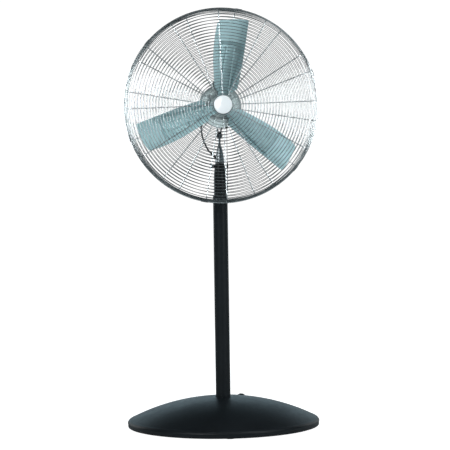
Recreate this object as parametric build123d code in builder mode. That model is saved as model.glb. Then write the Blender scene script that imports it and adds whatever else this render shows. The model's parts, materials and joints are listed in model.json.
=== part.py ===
# Pedestal fan: a 762 mm (30 inch) air circulator on a telescopic floor column.
#
# Frame: millimetres, +Z up, the fan blows towards -Y, +X is to the right of a
# person standing in front of it.  The origin is at the centre of the base, on
# the floor.  The column axis is the Z axis, the propeller axis is parallel to Y.
from build123d import *
from math import sin, cos, tan, asin, acos, atan2, radians, degrees, pi, sqrt, hypot
import os

os.makedirs("parts", exist_ok=True)

# ------------------------------------------------------------------ dimensions
# base
base_r = 432.0            # outer radius of the base
crown_z = 133.0           # top of the dome at the column
dome_r = 944.8            # spherical radius of the dome
shell_t = 3.0
foot_h = 4.0
# column and mast
col_r = 33.0
col_ri = 31.0
col_top = 1035.0
mast_r = 28.0
mast_ri = 26.0
mast_bottom = 560.0
mast_top = 1105.0
run = 0.05                # radial running clearance
mast_head_top = 1182.0
# neck
neck_bottom = 1183.8
swivel_r = 10.0
tilt_z = 1308.0           # height of the tilt axis
tilt_bolt_r = 5.0
tongue_t = 8.0            # thickness of the tongue along X
# head
hub_z = 1435.0            # height of the propeller axis
motor_r = 83.0
motor_ri = 79.0
shaft_r = 7.95
# propeller
prop_y = -172.0
prop_r = 381.0
blade_t = 2.0
arm_t = 3.0
camber_r = 260.0
blade_phase = 80.9
# guard
wire_r = 1.3              # drawn wire, modelled with eight flats
rib_r = 2.0
rim_wire_r = 3.0
rim_r = 427.0
rim_front_y = -167.2
rim_rear_y = -160.8
ring_pitch = 13.4
front_rib_phase = 1.8
rear_rib_phase = 20.5
# lead
lead_r = 3.7

hub_axis = Axis((0, 0, hub_z), (0, 1, 0))
z_axis = Axis((0, 0, 0), (0, 0, 1))


def radial_plane(angle, r=0.0, y=0.0):
    """Plane through the propeller axis: local x runs outwards, local y along +Y."""
    a = radians(angle)
    return Plane(origin=(r * cos(a), y, hub_z + r * sin(a)),
                 x_dir=(cos(a), 0, sin(a)), z_dir=(-sin(a), 0, cos(a)))


def dome_z(r, offset=0.0):
    """Height of the dome (moved inwards by offset) at radius r."""
    return crown_z - dome_r + sqrt((dome_r - offset) ** 2 - r ** 2)


# ======================================================================== BASE
# Spun steel dome with a short upright skirt and a rolled bead above it.
with BuildPart() as base_shell:
    with BuildSketch(Plane.XZ):
        with BuildLine():
            ri, ro = 33.9, 418.0
            ThreePointArc((ri, dome_z(ri)), (240, dome_z(240)), (ro, dome_z(ro)))
            ThreePointArc((ro, dome_z(ro)), (427.0, 30.6), (base_r - 0.4, 24.0))
            ThreePointArc((base_r - 0.4, 24.0), (base_r, 21.5), (base_r - 1.6, 19.0))
            Line((base_r - 1.6, 19.0), (base_r - 1.6, foot_h))
            Line((base_r - 1.6, foot_h), (base_r - 4.6, foot_h))
            Line((base_r - 4.6, foot_h), (base_r - 4.6, 20.0))
            ThreePointArc((base_r - 4.6, 20.0), (423.2, 28.0), (ro - 1.5, dome_z(ro - 1.5, shell_t)))
            ThreePointArc((ro - 1.5, dome_z(ro - 1.5, shell_t)), (240, dome_z(240, shell_t)), (ri, dome_z(ri, shell_t)))
            Line((ri, dome_z(ri, shell_t)), (ri, dome_z(ri)))
        make_face()
    revolve(axis=z_axis)
    # outlet hole for the supply lead, behind and to the right of the column
    with BuildSketch(Plane.XY.offset(60)):
        with Locations((92, 118)):
            Circle(9)
    extrude(amount=90, mode=Mode.SUBTRACT)
base_shell.part.label = "base_shell"
export_step(base_shell.part, "parts/base_shell.step")

# Flat pressed plate that closes the dome from below.
plate_top = foot_h + 3.0
bolt_pcd_r = 48.0
with BuildPart() as base_plate:
    with BuildSketch(Plane.XY.offset(foot_h)):
        Circle(426.5)
        with PolarLocations(bolt_pcd_r, 4, start_angle=45):
            Circle(5, mode=Mode.SUBTRACT)
    extrude(amount=3.0)
base_plate.part.label = "base_plate"
export_step(base_plate.part, "parts/base_plate.step")

# Cast ballast disc on the plate.
with BuildPart() as ballast:
    with BuildSketch(Plane.XY.offset(plate_top)):
        Circle(235)
        Circle(62, mode=Mode.SUBTRACT)
    extrude(amount=10)
    chamfer(ballast.edges().group_by(Axis.Z)[-1], 2)
ballast.part.label = "ballast_weight"
export_step(ballast.part, "parts/ballast_weight.step")

# Rubber feet under the plate.
with BuildPart() as feet:
    with BuildSketch(Plane.XY):
        with PolarLocations(392, 6, start_angle=30):
            Circle(22)
    extrude(amount=foot_h)
    chamfer(feet.edges().group_by(Axis.Z)[0], 0.8)
feet.part.label = "rubber_feet"
export_step(feet.part, "parts/rubber_feet.step")

# Flanged socket that holds the foot of the column inside the dome.
with BuildPart() as socket:
    with BuildSketch(Plane.XY.offset(plate_top)):
        Circle(60)
        Circle(col_r, mode=Mode.SUBTRACT)
        with PolarLocations(bolt_pcd_r, 4, start_angle=45):
            Circle(5, mode=Mode.SUBTRACT)
    extrude(amount=8)
    with BuildSketch(Plane.XY.offset(plate_top + 8)):
        Circle(36.5)
        Circle(col_r, mode=Mode.SUBTRACT)
    extrude(amount=92)
socket.part.label = "column_socket"
export_step(socket.part, "parts/column_socket.step")

with BuildPart() as socket_bolts:
    with BuildSketch(Plane.XY.offset(plate_top + 8)):
        with PolarLocations(bolt_pcd_r, 4, start_angle=45):
            RegularPolygon(8.0, 6)
    extrude(amount=6)
    with BuildSketch(Plane.XY.offset(foot_h)):
        with PolarLocations(bolt_pcd_r, 4, start_angle=45):
            Circle(5)
    extrude(amount=plate_top + 8 - foot_h)
socket_bolts.part.label = "socket_bolts"
export_step(socket_bolts.part, "parts/socket_bolts.step")

# Rubber outlet gland in the dome, square to its surface.
gl_x, gl_y = 92.0, 118.0
gl_r = hypot(gl_x, gl_y)
gl_n = Vector(gl_x, gl_y, dome_z(gl_r) - (crown_z - dome_r)).normalized()
gland_plane = Plane(origin=Vector(gl_x, gl_y, dome_z(gl_r)) + gl_n * 0.4, z_dir=gl_n)
with BuildPart() as gland:
    with BuildSketch(gland_plane):
        Circle(17)
    extrude(amount=2.2)
    with BuildSketch(gland_plane.offset(2.2)) as g0:
        Circle(12.5)
    with BuildSketch(gland_plane.offset(6.2)) as g1:
        Circle(8.5)
    loft()
    with BuildSketch(gland_plane.offset(-9)):
        Circle(8.0)
    extrude(amount=9)
    with BuildSketch(gland_plane.offset(-12)):
        Circle(3.9)
    extrude(amount=30, mode=Mode.SUBTRACT)
gland.part.label = "supply_gland"
export_step(gland.part, "parts/supply_gland.step")

# ====================================================================== COLUMN
knob_z = 995.0
with BuildPart() as column:
    with BuildSketch(Plane.XY.offset(plate_top)):
        Circle(col_r)
        Circle(col_ri, mode=Mode.SUBTRACT)
    extrude(amount=col_top - plate_top)
    with BuildSketch(Plane.XZ.offset(0)):
        with Locations((0, knob_z)):
            Circle(6.0)
    extrude(amount=-60, mode=Mode.SUBTRACT)
column.part.label = "column"
export_step(column.part, "parts/column.step")

# Nylon bushing in the mouth of the column; the mast slides in it.
with BuildPart() as bushing:
    with BuildSketch(Plane.XZ):
        with BuildLine():
            Polyline((mast_r + run, 965), (col_ri, 965), (col_ri, col_top), (col_r, col_top),
                     (col_r - 0.6, col_top + 3.0), (mast_r + run, col_top + 3.0), close=True)
        make_face()
    revolve(axis=z_axis)
    with BuildSketch(Plane.XZ.offset(0)):
        with Locations((0, knob_z)):
            Circle(6.0)
    extrude(amount=-60, mode=Mode.SUBTRACT)
bushing.part.label = "column_bushing"
export_step(bushing.part, "parts/column_bushing.step")

# Welded boss behind the column for the height lock.
with BuildPart() as boss:
    with BuildSketch(Plane.XZ.offset(-20)):
        with Locations((0, knob_z)):
            Circle(14)
            Circle(6.0, mode=Mode.SUBTRACT)
    extrude(amount=-30)
    with BuildSketch(Plane.XY.offset(knob_z - 30)):
        Circle(col_r)
    extrude(amount=60, mode=Mode.SUBTRACT)
boss.part.label = "lock_boss"
export_step(boss.part, "parts/lock_boss.step")

# Lobed hand knob with its stud.
with BuildPart() as height_knob:
    with BuildSketch(Plane.XZ.offset(-52)):
        with Locations((0, knob_z)):
            Circle(22)
            with PolarLocations(22, 5):
                Circle(7.5)
    extrude(amount=-20)
    fillet(height_knob.edges().group_by(Axis.Y)[-1], 2.5)
    with BuildSketch(Plane.XZ.offset(-50.4)):
        with Locations((0, knob_z)):
            Circle(12)
    extrude(amount=-1.6)
    with BuildSketch(Plane.XZ.offset(-(mast_r + 0.6))):
        with Locations((0, knob_z)):
            Circle(5.95)
    extrude(amount=-(52 - mast_r - 0.6))
height_knob.part.label = "height_knob"
export_step(height_knob.part, "parts/height_knob.step")

# ======================================================================== MAST
with BuildPart() as mast:
    with BuildSketch(Plane.XY.offset(mast_bottom)):
        Circle(mast_r)
        Circle(mast_ri, mode=Mode.SUBTRACT)
    extrude(amount=mast_top - mast_bottom)
mast.part.label = "mast_tube"
export_step(mast.part, "parts/mast_tube.step")

# Plastic guide on the foot of the mast, running in the bore of the column.
with BuildPart() as mast_guide:
    with BuildSketch(Plane.XY.offset(mast_bottom)):
        Circle(col_ri - run)
        Circle(mast_r, mode=Mode.SUBTRACT)
    extrude(amount=45)
    with BuildSketch(Plane.XY.offset(mast_bottom - 4)):
        Circle(col_ri - run)
        Circle(12, mode=Mode.SUBTRACT)
    extrude(amount=4)
mast_guide.part.label = "mast_guide"
export_step(mast_guide.part, "parts/mast_guide.step")

# Cast reducer that closes the mast in a bullet shape; bored for the swivel pin.
with BuildPart() as mast_head:
    with BuildSketch(Plane.XZ):
        with BuildLine():
            Line((swivel_r + run, 1085), (mast_ri - 0.05, 1085))
            Line((mast_ri - 0.05, 1085), (mast_ri - 0.05, mast_top))
            Line((mast_ri - 0.05, mast_top), (mast_r, mast_top))
            ThreePointArc((mast_r, mast_top), (25.9, 1146), (21.2, mast_head_top))
            Line((21.2, mast_head_top), (swivel_r + run, mast_head_top))
            Line((swivel_r + run, mast_head_top), (swivel_r + run, 1085))
        make_face()
    revolve(axis=z_axis)
    with BuildSketch(Plane.YZ.offset(-40)):
        with Locations((0, 1171)):
            Circle(4.05)
    extrude(amount=32, mode=Mode.SUBTRACT)
mast_head.part.label = "mast_head"
export_step(mast_head.part, "parts/mast_head.step")

with BuildPart() as thrust_washer:
    with BuildSketch(Plane.XY.offset(mast_head_top)):
        Circle(20.0)
        Circle(swivel_r + 0.4, mode=Mode.SUBTRACT)
    extrude(amount=1.5)
thrust_washer.part.label = "thrust_washer"
export_step(thrust_washer.part, "parts/thrust_washer.step")

# Wing bolt that locks the swivel, on the left of the mast head.
with BuildPart() as wing_bolt:
    with BuildSketch(Plane.YZ.offset(-34)):
        with Locations((0, 1171)):
            Circle(4.0)
    extrude(amount=34 - swivel_r - 0.6)
    with BuildSketch(Plane.YZ.offset(-40)):
        with Locations((0, 1171)):
            Circle(6.5)
    extrude(amount=13)
    with BuildSketch(Plane.XZ.offset(-2)):
        with BuildLine():
            Polyline((-30, 1168), (-30, 1174), (-36, 1181), (-45, 1183), (-47, 1179), (-41, 1174),
                     (-41, 1168), (-47, 1163), (-45, 1159), (-36, 1161), close=True)
        make_face()
    extrude(amount=4)
wing_bolt.part.label = "swivel_wing_bolt"
export_step(wing_bolt.part, "parts/swivel_wing_bolt.step")

# ======================================================================== NECK
# Ogive neck casting: swivel pin below, flat tongue above for the tilt joint.
gl_dir = Vector(-0.77, 0, 0.638).normalized()     # the lead gland points up and to the left
gl_org = Vector(-10, 0, 1204) + gl_dir * 9.0
neck_gland_plane = Plane(origin=gl_org, z_dir=gl_dir, x_dir=(0, 1, 0))
with BuildPart() as neck:
    with BuildSketch(Plane.XZ):
        with BuildLine():
            Polyline((0, 1120), (swivel_r - 1, 1120), (swivel_r, 1121), (swivel_r, neck_bottom),
                     (21.4, neck_bottom), (21.4, 1190))
            Spline((21.4, 1190), (18.3, 1215), (13.4, 1241), (7.4, 1262), (6.0, 1268))
            Polyline((6.0, 1268), (0, 1268), (0, 1120))
        make_face()
    revolve(axis=z_axis)
    # tongue, seen edge on from the front
    with BuildSketch(Plane.YZ.offset(-tongue_t / 2)):
        with BuildLine():
            Polyline((-9, 1240), (9, 1240), (15, 1296), (15, tilt_z), (-15, tilt_z), (-15, 1296), close=True)
        make_face()
        with Locations((0, tilt_z)):
            Circle(15)
    extrude(amount=tongue_t)
    with BuildSketch(Plane.YZ.offset(-20)):
        with Locations((0, tilt_z)):
            Circle(tilt_bolt_r + run)
    extrude(amount=40, mode=Mode.SUBTRACT)
    # spot face for the lead gland
    with BuildSketch(neck_gland_plane):
        Circle(9.5)
    extrude(amount=30, mode=Mode.SUBTRACT)
    # four shallow cast flutes round the ogive
    for a in (45, 135, 225, 315):
        fl = radians(a)
        with BuildSketch(Plane(origin=(25.6 * cos(fl), 25.6 * sin(fl), 1186.5),
                               z_dir=(-0.14 * cos(fl), -0.14 * sin(fl), 1.0))):
            Circle(6.0)
        extrude(amount=56, mode=Mode.SUBTRACT)
neck.part.label = "neck_casting"
export_step(neck.part, "parts/neck_casting.step")

with BuildPart() as neck_gland:
    with BuildSketch(neck_gland_plane):
        Circle(8.5)
    extrude(amount=4)
    with BuildSketch(neck_gland_plane.offset(4)) as ng0:
        Circle(7.0)
    with BuildSketch(neck_gland_plane.offset(16)) as ng1:
        Circle(4.8)
    loft()
neck_gland.part.label = "neck_gland"
export_step(neck_gland.part, "parts/neck_gland.step")

# ================================================================ TILT BRACKET
with BuildPart() as bracket:
    # saddle under the motor
    with BuildSketch(Plane.XZ.offset(-45)):
        with BuildLine():
            a0, a1 = radians(253), radians(287)
            p = lambda rr, aa: (rr * cos(aa), hub_z + rr * sin(aa))
            ThreePointArc(p(motor_r, a0), p(motor_r, radians(270)), p(motor_r, a1))
            Line(p(motor_r, a1), p(motor_r + 4, a1))
            ThreePointArc(p(motor_r + 4, a1), p(motor_r + 4, radians(270)), p(motor_r + 4, a0))
            Line(p(motor_r + 4, a0), p(motor_r, a0))
        make_face()
    extrude(amount=70)
    # two ears that spread upwards to the saddle
    for s in (-1, 1):
        with BuildSketch(Plane.XZ.offset(-15)):
            with BuildLine():
                Polyline((s * 4.4, 1293), (s * 8.4, 1293), (s * 8.4, 1324), (s * 16.5, 1351), (s * 11.5, 1351),
                         (s * 4.4, 1328), close=True)
            make_face()
        extrude(amount=30)
    # the saddle hugs the shell, so trim the tops of the ears to it
    with BuildSketch(Plane.XZ.offset(-60)):
        with Locations((0, hub_z)):
            Circle(motor_r)
    extrude(amount=120, mode=Mode.SUBTRACT)
    with BuildSketch(Plane.YZ.offset(-20)):
        with Locations((0, tilt_z)):
            Circle(tilt_bolt_r)
    extrude(amount=40, mode=Mode.SUBTRACT)
bracket.part.label = "tilt_bracket"
export_step(bracket.part, "parts/tilt_bracket.step")

with BuildPart() as tilt_bolt:
    with BuildSketch(Plane.YZ.offset(-8.4)):
        with Locations((0, tilt_z)):
            Circle(tilt_bolt_r)
    extrude(amount=22)
    with BuildSketch(Plane.YZ.offset(-14.0)):
        with Locations((0, tilt_z)):
            RegularPolygon(9.2, 6)
    extrude(amount=5.6)
tilt_bolt.part.label = "tilt_bolt"
export_step(tilt_bolt.part, "parts/tilt_bolt.step")

with BuildPart() as tilt_nut:
    with BuildSketch(Plane.YZ.offset(8.4)):
        with Locations((0, tilt_z)):
            RegularPolygon(9.2, 6)
            Circle(tilt_bolt_r, mode=Mode.SUBTRACT)
    extrude(amount=4.6)
tilt_nut.part.label = "tilt_nut"
export_step(tilt_nut.part, "parts/tilt_nut.step")

# ======================================================================= MOTOR
bell_f, bell_r = -80.0, 92.0
with BuildPart() as motor_shell:
    with BuildSketch(Plane.XZ.offset(58)):
        with Locations((0, hub_z)):
            Circle(motor_r)
            Circle(motor_ri, mode=Mode.SUBTRACT)
    extrude(amount=-(58 + 66))
motor_shell.part.label = "motor_shell"
export_step(motor_shell.part, "parts/motor_shell.step")

guard_screw_r = 66.0
with BuildPart() as front_bell:
    with BuildSketch(Plane.YZ):
        with BuildLine():
            Polyline((-86, hub_z + 12), (-86, hub_z + 22), (-84, hub_z + 25), (bell_f, hub_z + 27), (bell_f, hub_z + 80),
                     (-77, hub_z + 83), (-58, hub_z + 83), (-58, hub_z + 79), (-74, hub_z + 77), (-74, hub_z + 24),
                     (-64, hub_z + 24), (-64, hub_z + 20), (-78, hub_z + 20), (-78, hub_z + 12), close=True)
        make_face()
    revolve(axis=hub_axis)
    with BuildSketch(Plane.XZ.offset(82)):
        with Locations((0, hub_z)):
            with PolarLocations(guard_screw_r, 4, start_angle=45):
                Circle(3)
    extrude(amount=-10, mode=Mode.SUBTRACT)
front_bell.part.label = "motor_front_bell"
export_step(front_bell.part, "parts/motor_front_bell.step")

with BuildPart() as rear_bell:
    with BuildSketch(Plane.YZ):
        with BuildLine():
            Polyline((66, hub_z + 79), (66, hub_z + 83), (74, hub_z + 83), (84, hub_z + 77), (90, hub_z + 66),
                     (bell_r, hub_z + 50), (bell_r, hub_z + 30), (96, hub_z + 26), (96, hub_z), (91, hub_z),
                     (91, hub_z + 16), (82, hub_z + 16), (82, hub_z + 20), (68, hub_z + 20), (68, hub_z + 24),
                     (84, hub_z + 26), (86, hub_z + 50), (84, hub_z + 64), (79, hub_z + 74), (72, hub_z + 79), close=True)
        make_face()
    revolve(axis=hub_axis)
    # ventilation slots in the rear bell
    with BuildSketch(Plane.XZ.offset(-70)):
        with Locations((0, hub_z)):
            with PolarLocations(48, 12):
                SlotOverall(26, 7)
    extrude(amount=-40, mode=Mode.SUBTRACT)
rear_bell.part.label = "motor_rear_bell"
export_step(rear_bell.part, "parts/motor_rear_bell.step")

with BuildPart() as stator:
    with BuildSketch(Plane.XZ.offset(35)):
        with Locations((0, hub_z)):
            Circle(motor_ri)
            Circle(45, mode=Mode.SUBTRACT)
    extrude(amount=-75)
stator.part.label = "stator"
export_step(stator.part, "parts/stator.step")

with BuildPart() as windings:
    with BuildSketch(Plane.YZ):
        with Locations((-45, hub_z + 60), (50, hub_z + 60)):
            RectangleRounded(19, 22, 6)
    revolve(axis=hub_axis)
windings.part.label = "stator_windings"
export_step(windings.part, "parts/stator_windings.step")

with BuildPart() as bearings:
    with BuildSketch(Plane.YZ):
        with Locations((-71, hub_z + (20 + shaft_r + run) / 2), (75, hub_z + (20 + shaft_r + run) / 2)):
            Rectangle(14, 20 - shaft_r - run)
    revolve(axis=hub_axis)
bearings.part.label = "shaft_bearings"
export_step(bearings.part, "parts/shaft_bearings.step")

# Capacitor case saddled on top of the motor.
with BuildPart() as cap_case:
    with BuildSketch(Plane.XZ.offset(-2)):
        with Locations((0, hub_z + 98)):
            RectangleRounded(52, 50, 20)
    extrude(amount=-66)
    fillet(cap_case.edges().filter_by(GeomType.CIRCLE), 4)
    with BuildSketch(Plane.XZ.offset(60)):
        with Locations((0, hub_z)):
            Circle(motor_r)
    extrude(amount=-200, mode=Mode.SUBTRACT)
cap_case.part.label = "capacitor_case"
export_step(cap_case.part, "parts/capacitor_case.step")

# Terminal box on the left of the motor, with its cover and cord strain relief.
with BuildPart() as term_box:
    with BuildSketch(Plane.XY.offset(1372)):
        with Locations((-89, 22)):
            RectangleRounded(58, 56, 5)
    extrude(amount=60)
    fillet(term_box.edges().group_by(Axis.Z)[-1], 3)
    with BuildSketch(Plane.XZ.offset(60)):
        with Locations((0, hub_z)):
            Circle(motor_r)
    extrude(amount=-200, mode=Mode.SUBTRACT)
term_box.part.label = "terminal_box"
export_step(term_box.part, "parts/terminal_box.step")

with BuildPart() as box_cover:
    with BuildSketch(Plane.YZ.offset(-120.5)):
        with Locations((22, 1401)):
            RectangleRounded(48, 50, 4)
            with GridLocations(38, 40, 2, 2):
                Circle(2, mode=Mode.SUBTRACT)
    extrude(amount=2.5)
box_cover.part.label = "terminal_box_cover"
export_step(box_cover.part, "parts/terminal_box_cover.step")

with BuildPart() as box_screws:
    with BuildSketch(Plane.YZ.offset(-122.5)):
        with Locations((22, 1401)):
            with GridLocations(38, 40, 2, 2):
                Circle(3.4)
    extrude(amount=2.0)
    with BuildSketch(Plane.YZ.offset(-120.5)):
        with Locations((22, 1401)):
            with GridLocations(38, 40, 2, 2):
                Circle(2)
    extrude(amount=2.5)
box_screws.part.label = "cover_screws"
export_step(box_screws.part, "parts/cover_screws.step")

lead_start = Vector(-80, 18, 1350)
with BuildPart() as relief:
    with BuildSketch(Plane.XY.offset(1368)):
        with Locations((-80, 18)):
            RegularPolygon(9.5, 6)
    extrude(amount=4)
    with BuildSketch(Plane.XY.offset(1350)) as rl0:
        with Locations((-80, 18)):
            Circle(4.8)
    with BuildSketch(Plane.XY.offset(1368)) as rl1:
        with Locations((-80, 18)):
            Circle(7.5)
    loft()
relief.part.label = "lead_strain_relief"
export_step(relief.part, "parts/lead_strain_relief.step")

# Lead from the terminal box to the neck: straight runs joined by tangent arcs.
lead_end = gl_org + gl_dir * 16.0
lead_pts = [lead_start, Vector(-80, 18, 1322), Vector(-72, 12.5, 1290), Vector(-61.5, 6.5, 1262),
            lead_end + gl_dir * 24.0, lead_end]


def arc_radii(pts):
    radii = []
    for a, b, c in zip(pts, pts[1:], pts[2:]):
        u, w = b - a, c - b
        half = radians(u.get_angle(w)) / 2
        radii.append(0.45 * min(u.length, w.length) / tan(half))
    return radii


lead_radii = arc_radii(lead_pts)
print("lead radii", [round(r, 1) for r in lead_radii], "least allowed", round(10 * lead_r, 1))
with BuildPart() as lead:
    with BuildLine() as lead_path:
        FilletPolyline(*lead_pts, radius=lead_radii)
    with BuildSketch(Plane(origin=lead_path.line @ 0, z_dir=lead_path.line % 0)):
        Circle(lead_r)
    sweep(path=lead_path.line)
print("lead length", round(lead_path.wires()[0].length, 2), "volume", round(lead.part.volume, 1),
      "section x length", round(pi * lead_r ** 2 * lead_path.wires()[0].length, 1))
lead.part.label = "motor_lead"
export_step(lead.part, "parts/motor_lead.step")

# =================================================================== PULL CHAIN
ch_x, ch_y = 36.0, 28.0
with BuildPart() as pull_switch:
    with BuildSketch(Plane.XY.offset(1342)):
        with Locations((ch_x, ch_y)):
            Circle(8.5)
            Circle(2.6, mode=Mode.SUBTRACT)
    extrude(amount=26)
    with BuildSketch(Plane.XY.offset(1340)):
        with Locations((ch_x, ch_y)):
            Circle(5.0)
            Circle(2.6, mode=Mode.SUBTRACT)
    extrude(amount=2)
    with BuildSketch(Plane.XZ.offset(60)):
        with Locations((0, hub_z)):
            Circle(motor_r)
    extrude(amount=-200, mode=Mode.SUBTRACT)
pull_switch.part.label = "pull_switch"
export_step(pull_switch.part, "parts/pull_switch.step")

with BuildPart() as switch_stem:
    with BuildSketch(Plane.XY.offset(1332)):
        with Locations((ch_x, ch_y)):
            Circle(2.2)
    extrude(amount=20)
    with BuildSketch(Plane.XY.offset(1329)):
        with Locations((ch_x, ch_y)):
            Circle(3.0)
    extrude(amount=3)
switch_stem.part.label = "switch_stem"
export_step(switch_stem.part, "parts/switch_stem.step")

with BuildPart() as chain:
    with BuildSketch(Plane.XY.offset(1184)):
        with Locations((ch_x, ch_y)):
            Circle(1.7)
    extrude(amount=1326.4 - 1184)
    # round eye on the axis that it swings about
    with BuildSketch(Plane.YZ.offset(ch_x - 1.2)):
        with Locations((ch_y, 1327.3)):
            Circle(1.4)
    extrude(amount=2.4)
chain.part.label = "pull_chain"
export_step(chain.part, "parts/pull_chain.step")

with BuildPart() as chain_bell:
    with BuildSketch(Plane.XZ.offset(-ch_y)):
        with BuildLine():
            Line((ch_x, 1160), (ch_x + 2.4, 1160))
            Line((ch_x + 2.4, 1160), (ch_x + 4.2, 1163))
            ThreePointArc((ch_x + 4.2, 1163), (ch_x + 4.0, 1174), (ch_x + 2.4, 1184))
            Line((ch_x + 2.4, 1184), (ch_x, 1184))
            Line((ch_x, 1184), (ch_x, 1160))
        make_face()
    revolve(axis=Axis((ch_x, ch_y, 0), (0, 0, 1)))
chain_bell.part.label = "chain_bell"
export_step(chain_bell.part, "parts/chain_bell.step")

with BuildPart() as pull_cord:
    with BuildSketch(Plane.XY.offset(1064)):
        with Locations((ch_x, ch_y)):
            Circle(1.5)
    extrude(amount=1160 - 1064)
pull_cord.part.label = "pull_cord"
export_step(pull_cord.part, "parts/pull_cord.step")

with BuildPart() as cord_knot:
    with BuildSketch(Plane.XZ.offset(-ch_y)):
        with BuildLine():
            Line((ch_x, 1056), (ch_x + 1.4, 1056))
            ThreePointArc((ch_x + 1.4, 1056), (ch_x + 3.0, 1060), (ch_x + 1.4, 1064))
            Line((ch_x + 1.4, 1064), (ch_x, 1064))
            Line((ch_x, 1064), (ch_x, 1056))
        make_face()
    revolve(axis=Axis((ch_x, ch_y, 0), (0, 0, 1)))
cord_knot.part.label = "cord_knot"
export_step(cord_knot.part, "parts/cord_knot.step")


# ======================================================================= GUARD
def basket(inner, corner, end, fillet_r):
    """Points every ring_pitch along inner-corner-end (radius, y), rounded at the corner."""
    v1 = Vector(corner[0] - inner[0], corner[1] - inner[1])
    v2 = Vector(end[0] - corner[0], end[1] - corner[1])
    half = radians(v1.get_angle(v2)) / 2
    cut = fillet_r * tan(half)
    l1, l2, arc = v1.length - cut, v2.length - cut, fillet_r * 2 * half
    d1, d2 = v1.normalized(), v2.normalized()
    side = 1 if d1.X * d2.Y - d1.Y * d2.X > 0 else -1
    n1 = Vector(-d1.Y * side, d1.X * side)
    c = Vector(*inner) + d1 * l1 + n1 * fillet_r
    out = []
    k = 0
    while True:
        s = k * ring_pitch
        if s > l1 + arc + l2 - 9.0:
            break
        if s <= l1:
            q, bend = Vector(*inner) + d1 * s, 0
        elif s <= l1 + arc:
            th = (s - l1) / fillet_r * side
            w = Vector(*inner) + d1 * l1 - c
            q, bend = c + Vector(w.X * cos(th) - w.Y * sin(th), w.X * sin(th) + w.Y * cos(th)), 1
        else:
            q, bend = Vector(*corner) + d2 * (s - l1 - arc + cut), 1
        out.append((q.X, q.Y, bend))
        k += 1
    return out


def inset(inner, corner, end, d):
    """The same corner line moved by d towards the inside of the bend."""
    v1 = Vector(corner[0] - inner[0], corner[1] - inner[1]).normalized()
    v2 = Vector(end[0] - corner[0], end[1] - corner[1]).normalized()
    side = 1 if v1.X * v2.Y - v1.Y * v2.X > 0 else -1
    n1, n2 = Vector(-v1.Y * side, v1.X * side), Vector(-v2.Y * side, v2.X * side)
    half = radians(v1.get_angle(v2)) / 2
    mid = (n1 + n2).normalized() * (d / cos(half))
    return (inner[0] + n1.X * d, inner[1] + n1.Y * d), (corner[0] + mid.X, corner[1] + mid.Y), \
           (end[0] + n2.X * d, end[1] + n2.Y * d)


gap = wire_r + rib_r
f_in, f_co, f_en = (49.0, -260.0), (411.0, -245.5), (rim_r, rim_front_y)
r_in, r_co, r_en = (101.4, -81.8), (411.0, -94.2), (rim_r, rim_rear_y)
front_rings = basket(f_in, f_co, f_en, 24.0)
rear_rings = basket(r_in, r_co, r_en, 24.0)
print("front rings", len(front_rings), "rear rings", len(rear_rings))


with BuildPart() as ff_rings:
    with BuildSketch(Plane.YZ):
        with Locations(*[(y, hub_z + r) for r, y, b in front_rings if not b]):
            RegularPolygon(wire_r, 8)
    revolve(axis=hub_axis)
ff_rings.part.label = "front_guard_rings"
export_step(ff_rings.part, "parts/front_guard_rings.step")

with BuildPart() as fs_rings:
    with BuildSketch(Plane.YZ):
        with Locations(*[(y, hub_z + r) for r, y, b in front_rings if b]):
            RegularPolygon(wire_r, 8)
    revolve(axis=hub_axis)
fs_rings.part.label = "front_side_rings"
export_step(fs_rings.part, "parts/front_side_rings.step")

with BuildPart() as rf_rings:
    with BuildSketch(Plane.YZ):
        with Locations(*[(y, hub_z + r) for r, y, b in rear_rings if not b]):
            RegularPolygon(wire_r, 8)
    revolve(axis=hub_axis)
rf_rings.part.label = "rear_guard_rings"
export_step(rf_rings.part, "parts/rear_guard_rings.step")

with BuildPart() as rs_rings:
    with BuildSketch(Plane.YZ):
        with Locations(*[(y, hub_z + r) for r, y, b in rear_rings if b]):
            RegularPolygon(wire_r, 8)
    revolve(axis=hub_axis)
rs_rings.part.label = "rear_side_rings"
export_step(rs_rings.part, "parts/rear_side_rings.step")

with BuildPart() as rim_f:
    with BuildSketch(Plane.YZ):
        with Locations((rim_front_y, hub_z + rim_r)):
            RegularPolygon(rim_wire_r, 12)
    revolve(axis=hub_axis)
rim_f.part.label = "front_rim"
export_step(rim_f.part, "parts/front_rim.step")

with BuildPart() as rim_b:
    with BuildSketch(Plane.YZ):
        with Locations((rim_rear_y, hub_z + rim_r)):
            RegularPolygon(rim_wire_r, 12)
    revolve(axis=hub_axis)
rim_b.part.label = "rear_rim"
export_step(rim_b.part, "parts/rear_rim.step")

# Radial ribs: bent rods on the inside of the rings.
fi, fc, fe = inset(f_in, f_co, f_en, gap)
fe = (fe[0] - (fe[1] + 170.8) * (fe[0] - fc[0]) / (fe[1] - fc[1]), -170.8)
slope = (fc[1] - fi[1]) / (fc[0] - fi[0])
fi = (38.0, fi[1] + slope * (38.0 - fi[0]))
with BuildPart() as f_ribs:
    for k in range(12):
        pl = radial_plane(front_rib_phase + 30 * k)
        with BuildLine(pl) as rib_path:
            FilletPolyline(fi, fc, fe, radius=24.0 - gap)
        with BuildSketch(Plane(origin=rib_path.line @ 0, z_dir=rib_path.line % 0)):
            Circle(rib_r)
        sweep(path=rib_path.line)
f_ribs.part.label = "front_guard_ribs"
export_step(f_ribs.part, "parts/front_guard_ribs.step")

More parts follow.
